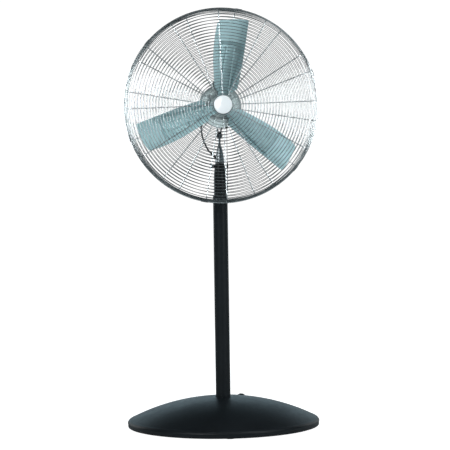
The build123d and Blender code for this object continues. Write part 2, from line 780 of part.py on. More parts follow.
ri_, rc_, re_ = inset(r_in, r_co, r_en, gap)
re_ = (re_[0] - (re_[1] + 157.2) * (re_[0] - rc_[0]) / (re_[1] - rc_[1]), -157.2)
slope = (rc_[1] - ri_[1]) / (rc_[0] - ri_[0])
ri_ = (84.0, ri_[1] + slope * (84.0 - ri_[0]))
with BuildPart() as r_ribs:
    for k in range(12):
        pl = radial_plane(rear_rib_phase + 30 * k)
        with BuildLine(pl) as rib_path:
            FilletPolyline(ri_, rc_, re_, radius=24.0 - gap)
        with BuildSketch(Plane(origin=rib_path.line @ 0, z_dir=rib_path.line % 0)):
            Circle(rib_r)
        sweep(path=rib_path.line)
r_ribs.part.label = "rear_guard_ribs"
export_step(r_ribs.part, "parts/rear_guard_ribs.step")

# Mounting ring of the rear guard, clamped to the motor's front bell.
ring_t = 2.35
with BuildPart() as mount_ring:
    with BuildSketch(Plane.XZ.offset(-bell_f)):
        with Locations((0, hub_z)):
            Circle(95)
            Circle(48, mode=Mode.SUBTRACT)
            with PolarLocations(guard_screw_r, 4, start_angle=45):
                Circle(3, mode=Mode.SUBTRACT)
    extrude(amount=ring_t)
mount_ring.part.label = "rear_mount_ring"
export_step(mount_ring.part, "parts/rear_mount_ring.step")
print("rib rests at", round(ri_[1] + rib_r, 3), "ring face", bell_f - ring_t)

with BuildPart() as guard_screws:
    with BuildSketch(Plane.XZ.offset(-bell_f + ring_t)):
        with Locations((0, hub_z)):
            with PolarLocations(guard_screw_r, 4, start_angle=45):
                Circle(5.5)
    extrude(amount=3.2)
    with BuildSketch(Plane.XZ.offset(-bell_f + ring_t)):
        with Locations((0, hub_z)):
            with PolarLocations(guard_screw_r, 4, start_angle=45):
                Circle(3)
    extrude(amount=-7.5)
guard_screws.part.label = "guard_screws"
export_step(guard_screws.part, "parts/guard_screws.step")

# Clips that hold the two rims together.
with BuildPart() as clips:
    for k in range(6):
        with BuildSketch(radial_plane(17 + 60 * k)):
            with BuildLine():
                Polyline((422.5, -171.6), (431.2, -171.6), (431.2, -156.4), (422.5, -156.4), (422.5, -157.5),
                         (430.1, -157.5), (430.1, -170.5), (422.5, -170.5), close=True)
            make_face()
        revolve(axis=hub_axis, revolution_arc=4)
clips.part.label = "rim_clips"
export_step(clips.part, "parts/rim_clips.step")

# Centre plate of the front guard and the plain round badge on it.
with BuildPart() as centre_plate:
    with BuildSketch(Plane.XZ.offset(260.6)):
        with Locations((0, hub_z)):
            Circle(43.5)
    extrude(amount=-1.7)
centre_plate.part.label = "guard_centre_plate"
export_step(centre_plate.part, "parts/guard_centre_plate.step")

with BuildPart() as badge:
    with BuildSketch(Plane.YZ):
        with BuildLine():
            Line((-260.6, hub_z), (-260.6, hub_z + 40.5))
            Line((-260.6, hub_z + 40.5), (-264.5, hub_z + 40.5))
            ThreePointArc((-264.5, hub_z + 40.5), (-267.6, hub_z + 38.5), (-268.6, hub_z + 34.5))
            Line((-268.6, hub_z + 34.5), (-269.4, hub_z + 18))
            Line((-269.4, hub_z + 18), (-269.6, hub_z))
            Line((-269.6, hub_z), (-260.6, hub_z))
        make_face()
    revolve(axis=hub_axis)
badge.part.label = "badge"
export_step(badge.part, "parts/badge.step")

# =================================================================== PROPELLER
pitch_root, pitch_tip = 37.5, 28.0
r_a, r_b = 24.0, 392.0
half_a, half_b = 80.0, 92.0
stations = ((r_a, pitch_root, half_a), (r_b, pitch_tip, half_b))


def section(beta, r, pitch, half):
    """Plane square to the blade's span, half angle of its arc, and a point on an arc."""
    b, p = radians(beta), radians(pitch)
    u = Vector(cos(b), 0, sin(b))
    t = Vector(-sin(b), 0, cos(b))
    d = t * cos(p) + Vector(0, 1, 0) * sin(p)
    ang = asin(half / camber_r)
    pt = lambda rad, a: (rad * sin(a), camber_r - rad * cos(a))
    return Plane(origin=Vector(0, prop_y, hub_z) + u * r, x_dir=d, z_dir=u), ang, pt


def rot(x, y, beta):
    b = radians(beta)
    return (x * cos(b) - y * sin(b), hub_z + x * sin(b) + y * cos(b))


# Outline of a blade, span along x: a nearly straight edge, a full edge and a skewed tip.
lead_edge = [(62, -44), (78, -54), (130, -57.8), (190, -61), (282, -61.8), (382, -62)]
trail_edge = [(368, 67), (340, 70), (310, 71.5), (280, 71.2), (250, 69.8), (220, 67), (190, 63), (145, 55), (105, 47), (62, 38)]
# Outline of an arm: a plate that widens towards its square end.
arm_edge = [(26, 22), (60, 24), (110, 30), (160, 36.5), (215, 43.5), (262, 49), (274, 49), (280, 43)]

with BuildPart() as blades:
    for k in range(3):
        r_out, r_in = camber_r, camber_r - blade_t
        for r, pitch, half in stations:
            pl, ang, pt = section(blade_phase + 120 * k, r, pitch, half)
            with BuildSketch(pl):
                with BuildLine():
                    ThreePointArc(pt(r_out, -ang), pt(r_out, 0), pt(r_out, ang))
                    Line(pt(r_out, ang), pt(r_in, ang))
                    ThreePointArc(pt(r_in, ang), pt(r_in, 0), pt(r_in, -ang))
                    Line(pt(r_in, -ang), pt(r_out, -ang))
                make_face()
        loft(ruled=True)
    with BuildSketch(Plane.XZ.offset(-prop_y + 90)):
        for k in range(3):
            beta = blade_phase + 120 * k
            with BuildLine():
                Polyline(*[rot(x, y, beta) for x, y in lead_edge])
                ThreePointArc(rot(*lead_edge[-1], beta), rot(382.2, 4.0, beta), rot(*trail_edge[0], beta))
                Polyline(*[rot(x, y, beta) for x, y in trail_edge + lead_edge[:1]])
            make_face()
    extrude(amount=-180, mode=Mode.INTERSECT)
blades.part.label = "propeller_blades"
export_step(blades.part, "parts/propeller_blades.step")

with BuildPart() as spider:
    for k in range(3):
        r_out, r_in = camber_r - blade_t, camber_r - blade_t - arm_t
        for r, pitch, half in stations:
            pl, ang, pt = section(blade_phase + 120 * k, r, pitch, half)
            with BuildSketch(pl):
                with BuildLine():
                    ThreePointArc(pt(r_out, -ang), pt(r_out, 0), pt(r_out, ang))
                    Line(pt(r_out, ang), pt(r_in, ang))
                    ThreePointArc(pt(r_in, ang), pt(r_in, 0), pt(r_in, -ang))
                    Line(pt(r_in, -ang), pt(r_out, -ang))
                make_face()
        loft(ruled=True)
    with BuildSketch(Plane.XZ.offset(-prop_y + 90)):
        for k in range(3):
            beta = blade_phase + 120 * k
            with BuildLine():
                Polyline(*[rot(x, -y, beta) for x, y in arm_edge], *[rot(x, y, beta) for x, y in reversed(arm_edge)],
                         close=True)
            make_face()
        with Locations((0, hub_z)):
            Circle(30, mode=Mode.SUBTRACT)
    extrude(amount=-180, mode=Mode.INTERSECT)
spider.part.label = "propeller_spider"
export_step(spider.part, "parts/propeller_spider.step")

with BuildPart() as prop_hub:
    with BuildSketch(Plane.XZ.offset(203)):
        with Locations((0, hub_z)):
            Circle(30)
            Circle(shaft_r, mode=Mode.SUBTRACT)
    extrude(amount=-60)
    chamfer(prop_hub.edges().group_by(Axis.Y)[0], 1.5)
prop_hub.part.label = "propeller_hub"
export_step(prop_hub.part, "parts/propeller_hub.step")

with BuildPart() as rivets:
    for k in range(3):
        b = radians(blade_phase + 120 * k)
        u = Vector(cos(b), 0, sin(b))
        t = Vector(-sin(b), 0, cos(b))
        for r, w in ((92, -13), (92, 13), (160, -24), (160, 24), (240, -33), (240, 33)):
            f = (r - r_a) / (r_b - r_a)
            p = radians(pitch_root + (pitch_tip - pitch_root) * f)
            d = t * cos(p) + Vector(0, 1, 0) * sin(p)
            n = Vector(0, -1, 0) * cos(p) + t * sin(p)
            o = Vector(0, prop_y, hub_z) + u * r + d * w + n * (w * w / (2 * camber_r))
            with BuildSketch(Plane(origin=o + n * (blade_t + arm_t), z_dir=n)):
                Circle(5.0)
            extrude(amount=1.8, taper=30)
            with BuildSketch(Plane(origin=o, z_dir=n * -1)):
                Circle(4.5)
            extrude(amount=1.5, taper=20)
            with BuildSketch(Plane(origin=o - n * 0.5, z_dir=n)):
                Circle(2.5)
            extrude(amount=blade_t + arm_t + 1.0)
rivets.part.label = "blade_rivets"
export_step(rivets.part, "parts/blade_rivets.step")

with BuildPart() as shaft:
    with BuildSketch(Plane.XZ.offset(212)):
        with Locations((0, hub_z)):
            Circle(shaft_r)
    extrude(amount=-(212 + 86))
    chamfer(shaft.edges().group_by(Axis.Y)[0], 1.0)
shaft.part.label = "motor_shaft"
export_step(shaft.part, "parts/motor_shaft.step")

with BuildPart() as core:
    with BuildSketch(Plane.XZ.offset(33)):
        with Locations((0, hub_z)):
            Circle(44.3)
            Circle(shaft_r, mode=Mode.SUBTRACT)
    extrude(amount=-71)
core.part.label = "rotor_core"
export_step(core.part, "parts/rotor_core.step")
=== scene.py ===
import json
import random
from math import sin, cos, tan, asin, acos, atan2, radians, degrees, pi, sqrt, exp, hypot

import bpy
import bmesh
from mathutils import Matrix, Vector

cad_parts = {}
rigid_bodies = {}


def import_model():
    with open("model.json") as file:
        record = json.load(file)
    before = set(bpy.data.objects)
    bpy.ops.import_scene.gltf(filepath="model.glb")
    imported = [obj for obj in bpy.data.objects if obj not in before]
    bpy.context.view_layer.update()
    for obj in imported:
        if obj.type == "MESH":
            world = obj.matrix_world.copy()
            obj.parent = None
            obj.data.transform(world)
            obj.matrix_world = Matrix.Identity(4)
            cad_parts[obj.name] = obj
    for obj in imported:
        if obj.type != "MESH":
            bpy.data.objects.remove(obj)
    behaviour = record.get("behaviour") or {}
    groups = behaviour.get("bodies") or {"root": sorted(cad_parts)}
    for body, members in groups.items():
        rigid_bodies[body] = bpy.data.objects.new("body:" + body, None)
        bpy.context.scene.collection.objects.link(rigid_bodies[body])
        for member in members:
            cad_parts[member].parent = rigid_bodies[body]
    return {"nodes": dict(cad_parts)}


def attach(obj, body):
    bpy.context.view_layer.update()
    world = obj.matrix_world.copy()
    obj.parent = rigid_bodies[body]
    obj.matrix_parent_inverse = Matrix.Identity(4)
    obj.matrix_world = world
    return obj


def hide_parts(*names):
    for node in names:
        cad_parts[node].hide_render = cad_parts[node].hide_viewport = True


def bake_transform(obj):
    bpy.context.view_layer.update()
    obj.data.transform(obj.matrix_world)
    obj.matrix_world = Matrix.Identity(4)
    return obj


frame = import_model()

random.seed(7)
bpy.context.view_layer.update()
NODES = frame["nodes"]
MM = 0.001

# ------------------------------------------------------------- driving dimensions (mm)
HUB_Z = 1435.0
TILT_Z = 1308.0
PROP_Y = -172.0
PROP_R = 381.0
CAMBER = 260.0
BLADE_T = 2.0
ARM_T = 3.0
BLADE_PHASE = 80.9
PITCH_A, PITCH_B = 37.5, 28.0
R_A, R_B = 24.0, 392.0
HALF_A, HALF_B = 80.0, 92.0
WIRE_R = 1.3
RIB_R = 2.0
RIM_WIRE = 3.0
RIM_R = 427.0
RING_PITCH = 13.4


# ================================================================== MATERIALS
def new_mat(name):
    m = bpy.data.materials.new(name)
    m.use_nodes = True
    nt = m.node_tree
    nt.nodes.clear()
    out = nt.nodes.new("ShaderNodeOutputMaterial")
    bsdf = nt.nodes.new("ShaderNodeBsdfPrincipled")
    nt.links.new(bsdf.outputs["BSDF"], out.inputs["Surface"])
    return m, nt, bsdf


def coords(nt, scale=(1, 1, 1)):
    tc = nt.nodes.new("ShaderNodeTexCoord")
    mp = nt.nodes.new("ShaderNodeMapping")
    mp.inputs["Scale"].default_value = scale
    nt.links.new(tc.outputs["Object"], mp.inputs["Vector"])
    return mp.outputs["Vector"]


def noise(nt, vec, scale, detail=4.0, rough=0.55, distort=0.0):
    n = nt.nodes.new("ShaderNodeTexNoise")
    n.inputs["Scale"].default_value = scale
    n.inputs["Detail"].default_value = detail
    n.inputs["Roughness"].default_value = rough
    n.inputs["Distortion"].default_value = distort
    nt.links.new(vec, n.inputs["Vector"])
    return n.outputs["Fac"]


def ramp(nt, fac, stops):
    r = nt.nodes.new("ShaderNodeValToRGB")
    el = r.color_ramp.elements
    while len(el) < len(stops):
        el.new(0.5)
    for e, (p, c) in zip(el, stops):
        e.position = p
        e.color = (*c, 1.0) if len(c) == 3 else c
    nt.links.new(fac, r.inputs["Fac"])
    return r.outputs["Color"]


def remap(nt, fac, lo, hi, a=0.3, b=0.7):
    m = nt.nodes.new("ShaderNodeMapRange")
    m.inputs["From Min"].default_value = a
    m.inputs["From Max"].default_value = b
    m.inputs["To Min"].default_value = lo
    m.inputs["To Max"].default_value = hi
    nt.links.new(fac, m.inputs["Value"])
    return m.outputs["Result"]


def mul(nt, a, b, op="MULTIPLY"):
    m = nt.nodes.new("ShaderNodeMath")
    m.operation = op
    for i, v in enumerate((a, b)):
        if isinstance(v, (int, float)):
            m.inputs[i].default_value = v
        else:
            nt.links.new(v, m.inputs[i])
    return m.outputs["Value"]


def mixc(nt, fac, a, b):
    m = nt.nodes.new("ShaderNodeMix")
    m.data_type = "RGBA"
    if isinstance(fac, (int, float)):
        m.inputs[0].default_value = fac
    else:
        nt.links.new(fac, m.inputs[0])
    for i, v in ((6, a), (7, b)):
        if isinstance(v, tuple):
            m.inputs[i].default_value = (*v, 1.0)
        else:
            nt.links.new(v, m.inputs[i])
    return m.outputs[2]


def bump(nt, bsdf, height, strength, distance):
    b = nt.nodes.new("ShaderNodeBump")
    b.inputs["Strength"].default_value = strength
    b.inputs["Distance"].default_value = distance
    nt.links.new(height, b.inputs["Height"])
    nt.links.new(b.outputs["Normal"], bsdf.inputs["Normal"])
    return b


def setv(bsdf, **kw):
    names = {"metal": "Metallic", "spec": "Specular IOR Level", "coat": "Coat Weight", "coat_rough": "Coat Roughness",
             "aniso": "Anisotropic", "ior": "IOR", "sheen": "Sheen Weight", "sss": "Subsurface Weight"}
    for k, v in kw.items():
        bsdf.inputs[names[k]].default_value = v


def tone(c, k):
    return tuple(min(1.0, x * k) for x in c)


def surface(name, base, rough=(0.3, 0.4), amp=0.12, big=9.0, fine=900.0, bump_s=0.25, bump_d=0.00004,
            stretch=(1, 1, 1), fine_stretch=(1, 1, 1), specks=0.0, **kw):
    """Two-tone colour from a large and a small noise, uneven gloss, and a fine surface grain."""
    m, nt, b = new_mat(name)
    v = coords(nt, stretch)
    n1 = noise(nt, v, big, 5.0, 0.6, 0.3)
    n2 = noise(nt, v, big * 7.0, 4.0, 0.6)
    mixed = mul(nt, mul(nt, n1, 0.62), mul(nt, n2, 0.38), "ADD")
    col = ramp(nt, mixed, [(0.34, tone(base, 1 - amp)), (0.5, base), (0.66, tone(base, 1 + amp))])
    if specks:
        sp = noise(nt, v, big * 60.0, 3.0, 0.7)
        sp = remap(nt, sp, 0.0, 1.0, 0.62, 0.72)
        col = mixc(nt, mul(nt, sp, specks), col, tone(base, 3.0))
    nt.links.new(col, b.inputs["Base Color"])
    nt.links.new(remap(nt, mixed, rough[0], rough[1], 0.36, 0.64), b.inputs["Roughness"])
    vf = coords(nt, fine_stretch)
    f = noise(nt, vf, fine, 3.0, 0.6)
    bump(nt, b, f, bump_s, bump_d)
    setv(b, **kw)
    return m


def black_enamel():
    """Stove enamel: deep blue black, satin, with orange peel, uneven tone and rubbed edges near the floor."""
    m, nt, b = new_mat("black_enamel_vis")
    v = coords(nt)
    n1 = noise(nt, v, 6.0, 6.0, 0.62, 0.4)
    n2 = noise(nt, v, 55.0, 5.0, 0.6)
    mixed = mul(nt, mul(nt, n1, 0.6), mul(nt, n2, 0.4), "ADD")
    col = ramp(nt, mixed, [(0.36, (0.0040, 0.0064, 0.0088)), (0.52, (0.0056, 0.0092, 0.0124)), (0.68, (0.0080, 0.0124, 0.0164))])
    sep = nt.nodes.new("ShaderNodeSeparateXYZ")
    tc = nt.nodes.new("ShaderNodeTexCoord")
    nt.links.new(tc.outputs["Object"], sep.inputs["Vector"])
    low = remap(nt, sep.outputs["Z"], 1.0, 0.0, 0.004, 0.022)
    scuff = remap(nt, noise(nt, coords(nt, (1, 1, 3)), 70.0, 6.0, 0.7), 0.0, 1.0, 0.56, 0.74)
    col = mixc(nt, mul(nt, mul(nt, low, scuff), 0.5), col, (0.055, 0.058, 0.06))
    nt.links.new(col, b.inputs["Base Color"])
    r = remap(nt, mixed, 0.36, 0.50, 0.36, 0.66)
    nt.links.new(r, b.inputs["Roughness"])
    peel = noise(nt, v, 420.0, 2.0, 0.5)
    grit = noise(nt, v, 2200.0, 2.0, 0.5)
    bump(nt, b, mul(nt, mul(nt, peel, 0.7), mul(nt, grit, 0.3), "ADD"), 0.22, 0.00009)
    setv(b, spec=0.30)
    return m


def mast_enamel():
    """The same enamel on the sliding mast, with fine rubbing marks along it."""
    m, nt, b = new_mat("black_mast_vis")
    v = coords(nt, (1, 1, 0.05))
    marks = noise(nt, v, 520.0, 5.0, 0.7)
    v1 = coords(nt)
    n1 = noise(nt, v1, 12.0, 5.0, 0.6)
    col = ramp(nt, n1, [(0.35, (0.0040, 0.0055, 0.0068)), (0.65, (0.0075, 0.0095, 0.0115))])
    rub = remap(nt, marks, 0.0, 1.0, 0.60, 0.80)
    col = mixc(nt, mul(nt, rub, 0.30), col, (0.04, 0.045, 0.05))
    nt.links.new(col, b.inputs["Base Color"])
    nt.links.new(remap(nt, marks, 0.22, 0.44, 0.3, 0.75), b.inputs["Roughness"])
    bump(nt, b, marks, 0.12, 0.00005)
    setv(b, spec=0.32)
    return m


def plated_wire(name="guard_wire_vis", k=1.2):
    """Zinc and nickel plated drawn wire: bright, with drawn grain and darker patches in the plating."""
    m, nt, b = new_mat(name)
    v = coords(nt)
    n1 = noise(nt, v, 16.0, 6.0, 0.65, 0.5)
    n2 = noise(nt, v, 240.0, 4.0, 0.6)
    mixed = mul(nt, mul(nt, n1, 0.55), mul(nt, n2, 0.45), "ADD")
    # k scales the wire colour; the ribs' larger k is a painted highlight
    col = ramp(nt, mixed, [(0.34, tone((0.115, 0.130, 0.134), k)), (0.50, tone((0.165, 0.182, 0.188), k)), (0.66, tone((0.235, 0.255, 0.262), k))])
    nt.links.new(col, b.inputs["Base Color"])
    nt.links.new(remap(nt, mixed, 0.20, 0.38, 0.36, 0.64), b.inputs["Roughness"])
    bump(nt, b, n2, 0.16, 0.00003)
    setv(b, metal=1.0)
    return m


def blade_sheet():
    """Rolled aluminium sheet with a blue-green protective film: faint rolling grain along the blade."""
    m, nt, b = new_mat("blade_aluminium_vis")
    v = coords(nt, (0.06, 1, 1))
    grain = noise(nt, v, 620.0, 5.0, 0.65)
    v1 = coords(nt)
    cloud = noise(nt, v1, 9.0, 5.0, 0.6, 0.6)
    mixed = mul(nt, mul(nt, grain, 0.4), mul(nt, cloud, 0.6), "ADD")
    col = ramp(nt, mixed, [(0.34, (0.420, 0.590, 0.625)), (0.50, (0.500, 0.690, 0.725)), (0.66, (0.585, 0.780, 0.815))])
    nt.links.new(col, b.inputs["Base Color"])
    nt.links.new(remap(nt, mixed, 0.50, 0.64, 0.36, 0.64), b.inputs["Roughness"])
    bump(nt, b, grain, 0.10, 0.00004)
    setv(b, metal=0.72, spec=0.5, aniso=0.25)
    return m


def spangle(name, base, rough, scale=160.0, amp=0.22):
    """Hot-dip or barrel zinc: small crystals of slightly different brightness."""
    m, nt, b = new_mat(name)
    v = coords(nt)
    vo = nt.nodes.new("ShaderNodeTexVoronoi")
    vo.inputs["Scale"].default_value = scale
    nt.links.new(v, vo.inputs["Vector"])
    sep = nt.nodes.new("ShaderNodeSeparateColor")
    nt.links.new(vo.outputs["Color"], sep.inputs["Color"])
    n1 = noise(nt, v, 30.0, 5.0, 0.6)
    mixed = mul(nt, mul(nt, sep.outputs["Red"], 0.4), mul(nt, n1, 0.6), "ADD")
    col = ramp(nt, mixed, [(0.25, tone(base, 1 - amp)), (0.5, base), (0.75, tone(base, 1 + amp))])
    nt.links.new(col, b.inputs["Base Color"])
    nt.links.new(remap(nt, mixed, rough[0], rough[1], 0.25, 0.75), b.inputs["Roughness"])
    bump(nt, b, noise(nt, v, 1500.0, 2.0, 0.5), 0.15, 0.00003)
    setv(b, metal=1.0)
    return m


def braid():
    """Braided black cord: two crossing sets of strands."""
    m, nt, b = new_mat("pull_cord_vis")
    tc = nt.nodes.new("ShaderNodeTexCoord")
    outs = []
    for s in (1, -1):
        mp = nt.nodes.new("ShaderNodeMapping")
        mp.inputs["Rotation"].default_value = (0, radians(38 * s), radians(20 * s))
        nt.links.new(tc.outputs["Object"], mp.inputs["Vector"])
        w = nt.nodes.new("ShaderNodeTexWave")
        w.wave_type = "BANDS"
        w.bands_direction = "Z"
        w.inputs["Scale"].default_value = 420.0
        w.inputs["Distortion"].default_value = 0.6
        nt.links.new(mp.outputs["Vector"], w.inputs["Vector"])
        outs.append(w.outputs["Fac"])
    h = mul(nt, outs[0], outs[1], "MAXIMUM")
    col = ramp(nt, h, [(0.2, (0.006, 0.006, 0.007)), (0.9, (0.022, 0.022, 0.024))])
    nt.links.new(col, b.inputs["Base Color"])
    nt.links.new(remap(nt, h, 0.85, 0.6, 0.0, 1.0), b.inputs["Roughness"])
    bump(nt, b, h, 0.6, 0.0003)
    setv(b, sheen=0.3)
    return m


def laminated():
    """Stack of thin steel sheets, seen on edge."""
    m, nt, b = new_mat("laminations_vis")
    tc = nt.nodes.new("ShaderNodeTexCoord")
    w = nt.nodes.new("ShaderNodeTexWave")
    w.wave_type = "BANDS"
    w.bands_direction = "Y"
    w.inputs["Scale"].default_value = 320.0
    w.inputs["Distortion"].default_value = 0.3
    nt.links.new(tc.outputs["Object"], w.inputs["Vector"])
    col = ramp(nt, w.outputs["Fac"], [(0.1, (0.05, 0.05, 0.055)), (0.8, (0.22, 0.22, 0.23))])
    nt.links.new(col, b.inputs["Base Color"])
    nt.links.new(remap(nt, w.outputs["Fac"], 0.6, 0.38, 0, 1), b.inputs["Roughness"])
    bump(nt, b, w.outputs["Fac"], 0.5, 0.0002)
    setv(b, metal=0.9)
    return m


M = {
    "black_enamel": black_enamel(),
    "black_mast": mast_enamel(),
    "cast_ballast": surface("cast_ballast_vis", (0.03, 0.03, 0.032), (0.6, 0.8), 0.3, 20, 260, 0.6, 0.0003, metal=0.3),
    "black_rubber": surface("black_rubber_vis", (0.014, 0.014, 0.015), (0.62, 0.78), 0.25, 40, 1400, 0.3, 0.00008, spec=0.4),
    "lead_jacket": surface("lead_jacket_vis", (0.010, 0.010, 0.011), (0.42, 0.56), 0.25, 60, 1600, 0.3, 0.00006, spec=0.45),
    "nylon_black": surface("nylon_black_vis", (0.012, 0.012, 0.013), (0.38, 0.52), 0.2, 60, 1800, 0.45, 0.00010, spec=0.45),
    "zinc_hardware": spangle("zinc_hardware_vis", (0.50, 0.51, 0.52), (0.22, 0.40)),
    "neck_zinc": surface("neck_zinc_vis", (0.34, 0.36, 0.375), (0.20, 0.32), 0.10, 45, 1300, 0.25, 0.00005, metal=1.0),
    "bracket_steel": surface("bracket_steel_vis", (0.035, 0.038, 0.042), (0.34, 0.5), 0.2, 30, 1100, 0.3, 0.00007, metal=0.5),
    "motor_enamel": surface("motor_enamel_vis", (0.22, 0.27, 0.28), (0.36, 0.5), 0.16, 14, 700, 0.3, 0.00008, spec=0.5, coat=0.1, coat_rough=0.3),
    "motor_casting": surface("motor_casting_vis", (0.42, 0.50, 0.51), (0.42, 0.58), 0.2, 22, 420, 0.5, 0.00016, metal=0.1),
    "laminations": laminated(),
    "copper_winding": surface("copper_winding_vis", (0.42, 0.16, 0.06), (0.3, 0.45), 0.3, 30, 500, 0.8, 0.0004,
                              fine_stretch=(1, 6, 1), metal=0.8),
    "bright_steel": surface("bright_steel_vis", (0.55, 0.56, 0.57), (0.16, 0.28), 0.08, 30, 900, 0.15, 0.00003,
                            fine_stretch=(1, 8, 1), metal=1.0),
    "guard_wire": plated_wire(),
    # the ribs are the same plated wire with its colour lifted 2.2 times instead of 1.2: the extra brightness is a
    # painted highlight
    "guard_rib": plated_wire("guard_rib_painted_highlight_vis", 2.2),
    "blade_aluminium": blade_sheet(),
    "spider_steel": spangle("spider_steel_vis", (0.40, 0.565, 0.595), (0.44, 0.58), 90.0, 0.14),
    "badge_white": surface("badge_white_vis", (0.79, 0.83, 0.85), (0.10, 0.17), 0.02, 18, 500, 0.05, 0.00003, coat=0.8, coat_rough=0.06),
    "bead_chain": surface("bead_chain_vis", (0.50, 0.50, 0.50), (0.15, 0.3), 0.15, 200, 2500, 0.2, 0.00003, metal=1.0),
    "pull_cord_black": braid(),
}

NODE_SLOT = {
    "ballast_weight": "cast_ballast", "column_socket": "black_enamel", "socket_bolts": "zinc_hardware",
    "mast_guide": "nylon_black", "stator": "laminations", "stator_windings": "copper_winding",
    "shaft_bearings": "bright_steel", "rotor_core": "laminations", "base_plate": "black_enamel",
}


# ================================================================== MESH TOOLS
def make(name, V, F, slot, body, nodes=(), angle=32.0, bevel=0.0, segs=2, subd=0, matrix=None, bevel_angle=28.0):
    """Mesh piece from millimetre points; its modifiers are applied, and it rides on a body."""
    me = bpy.data.meshes.new(name)
    me.from_pydata([tuple(c * MM for c in v) for v in V], [], F)
    me.validate()
    ob = bpy.data.objects.new(name, me)
    bpy.context.scene.collection.objects.link(ob)
    finish_mesh(ob, slot, angle, bevel, segs, subd, bevel_angle)
    if matrix is not None:
        ob.matrix_world = matrix
    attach(ob, body)
    if nodes:
        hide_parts(*nodes)
    return ob


def recalc(me):
    bm = bmesh.new()
    bm.from_mesh(me)
    bmesh.ops.remove_doubles(bm, verts=bm.verts, dist=1e-7)
    bmesh.ops.recalc_face_normals(bm, faces=bm.faces)
    bm.to_mesh(me)
    bm.free()


def finish_mesh(ob, slot, angle=32.0, bevel=0.0, segs=2, subd=0, bevel_angle=28.0):
    recalc(ob.data)
    if bevel:
        md = ob.modifiers.new("bevel", "BEVEL")
        md.width = bevel * MM
        md.segments = segs
        md.limit_method = "ANGLE"
        md.angle_limit = radians(bevel_angle)
        md.use_clamp_overlap = True
    if subd:
        md = ob.modifiers.new("subd", "SUBSURF")
        md.levels = subd
        md.render_levels = subd
    if ob.modifiers:
        bake_mods(ob)
    ob.data.shade_smooth()
    ob.data.set_sharp_from_angle(angle=radians(angle))
    ob.data.materials.clear()
    ob.data.materials.append(M[slot])


def bake_mods(ob):
    dg = bpy.context.evaluated_depsgraph_get()
    dg.update()
    me = bpy.data.meshes.new_from_object(ob.evaluated_get(dg))
    ob.modifiers.clear()
    ob.data = me


class Geo:
    def __init__(self):
        self.V, self.F = [], []

    def add(self, V, F):
        k = len(self.V)
        self.V += V
        self.F += [tuple(i + k for i in f) for f in F]
        return self


def arc3(p0, p1, p2, n):
    """n+1 points on the circle through three points."""
    ax, ay, bx, by, cx, cy = *p0, *p1, *p2
    d = 2 * (ax * (by - cy) + bx * (cy - ay) + cx * (ay - by))
    ux = ((ax * ax + ay * ay) * (by - cy) + (bx * bx + by * by) * (cy - ay) + (cx * cx + cy * cy) * (ay - by)) / d
    uy = ((ax * ax + ay * ay) * (cx - bx) + (bx * bx + by * by) * (ax - cx) + (cx * cx + cy * cy) * (bx - ax)) / d
    r = hypot(ax - ux, ay - uy)
    a0, a1, a2 = (atan2(p[1] - uy, p[0] - ux) for p in (p0, p1, p2))
    while a1 < a0:
        a1 += 2 * pi
    while a2 < a0:
        a2 += 2 * pi
    if a1 > a2:
        a2 -= 2 * pi
    return [(ux + r * cos(a0 + (a2 - a0) * i / n), uy + r * sin(a0 + (a2 - a0) * i / n)) for i in range(n + 1)]


def soften(pts, r, closed=True, n=4, least=22.0, keep=()):
    """A profile with its sharp corners rounded to radius r where its sides leave room."""
    out = []
    k = len(pts)
    for i, p in enumerate(pts):
        if not closed and i in (0, k - 1):
            out.append(p)
            continue
        a, c = Vector(pts[i - 1]), Vector(pts[(i + 1) % k])
        b = Vector(p)
        u, w = a - b, c - b
        if u.length < 1e-6 or w.length < 1e-6:
            continue
        turn = pi - u.angle(w)
        if degrees(turn) < least or i in keep or b.x < 1e-6:
            out.append(p)
            continue
        cut = min(r * tan(turn / 2), 0.45 * u.length, 0.45 * w.length)
        rr = cut / tan(turn / 2)
        u.normalize()
        w.normalize()
        s, e = b + u * cut, b + w * cut
        cen = b + (u + w).normalized() * (rr / cos(turn / 2))
        v0, v1 = s - cen, e - cen
        ang = v0.angle(v1)
        sg = 1 if v0.x * v1.y - v0.y * v1.x > 0 else -1
        for j in range(n + 1):
            t = sg * ang * j / n
            out.append((cen.x + v0.x * cos(t) - v0.y * sin(t), cen.y + v0.x * sin(t) + v0.y * cos(t)))
    return out


def lathe(profile, axis="Z", at=(0, 0, 0), segs=128, a0=0.0, a1=360.0, mod=None):
    """Closed profile of (radius, height) turned about an axis."""
    V, F = [], []
    full = abs(a1 - a0 - 360) < 1e-6
    cols = segs if full else segs + 1
    rings = []
    for r, h in profile:
        ring = []
        if r < 1e-6:
            ring = [len(V)] * cols
            V.append(place(0, 0, h, axis, at))
        else:
            for j in range(cols):
                t = radians(a0 + (a1 - a0) * j / segs)
                rr = mod(r, t, h) if mod else r
                ring.append(len(V))
                V.append(place(rr * cos(t), rr * sin(t), h, axis, at))
        rings.append(ring)
    n = len(rings)
    for i in range(n):
        A, B = rings[i], rings[(i + 1) % n]
        for j in range(segs):
            j2 = (j + 1) % cols
            q = [A[j], A[j2], B[j2], B[j]]
            q = [x for m, x in enumerate(q) if x not in q[:m]]
            if len(q) > 2:
                F.append(tuple(q))
    if not full:
        F.append(tuple(r[0] for r in rings))
        F.append(tuple(r[-1] for r in reversed(rings)))
    return V, F


def place(x, y, h, axis, at):
    """Cross-section x, y and height h on a world axis."""
    if axis == "Z":
        return (at[0] + x, at[1] + y, at[2] + h)
    if axis == "Y":
        return (at[0] + x, at[1] + h, at[2] + y)
    return (at[0] + h, at[1] + x, at[2] + y)


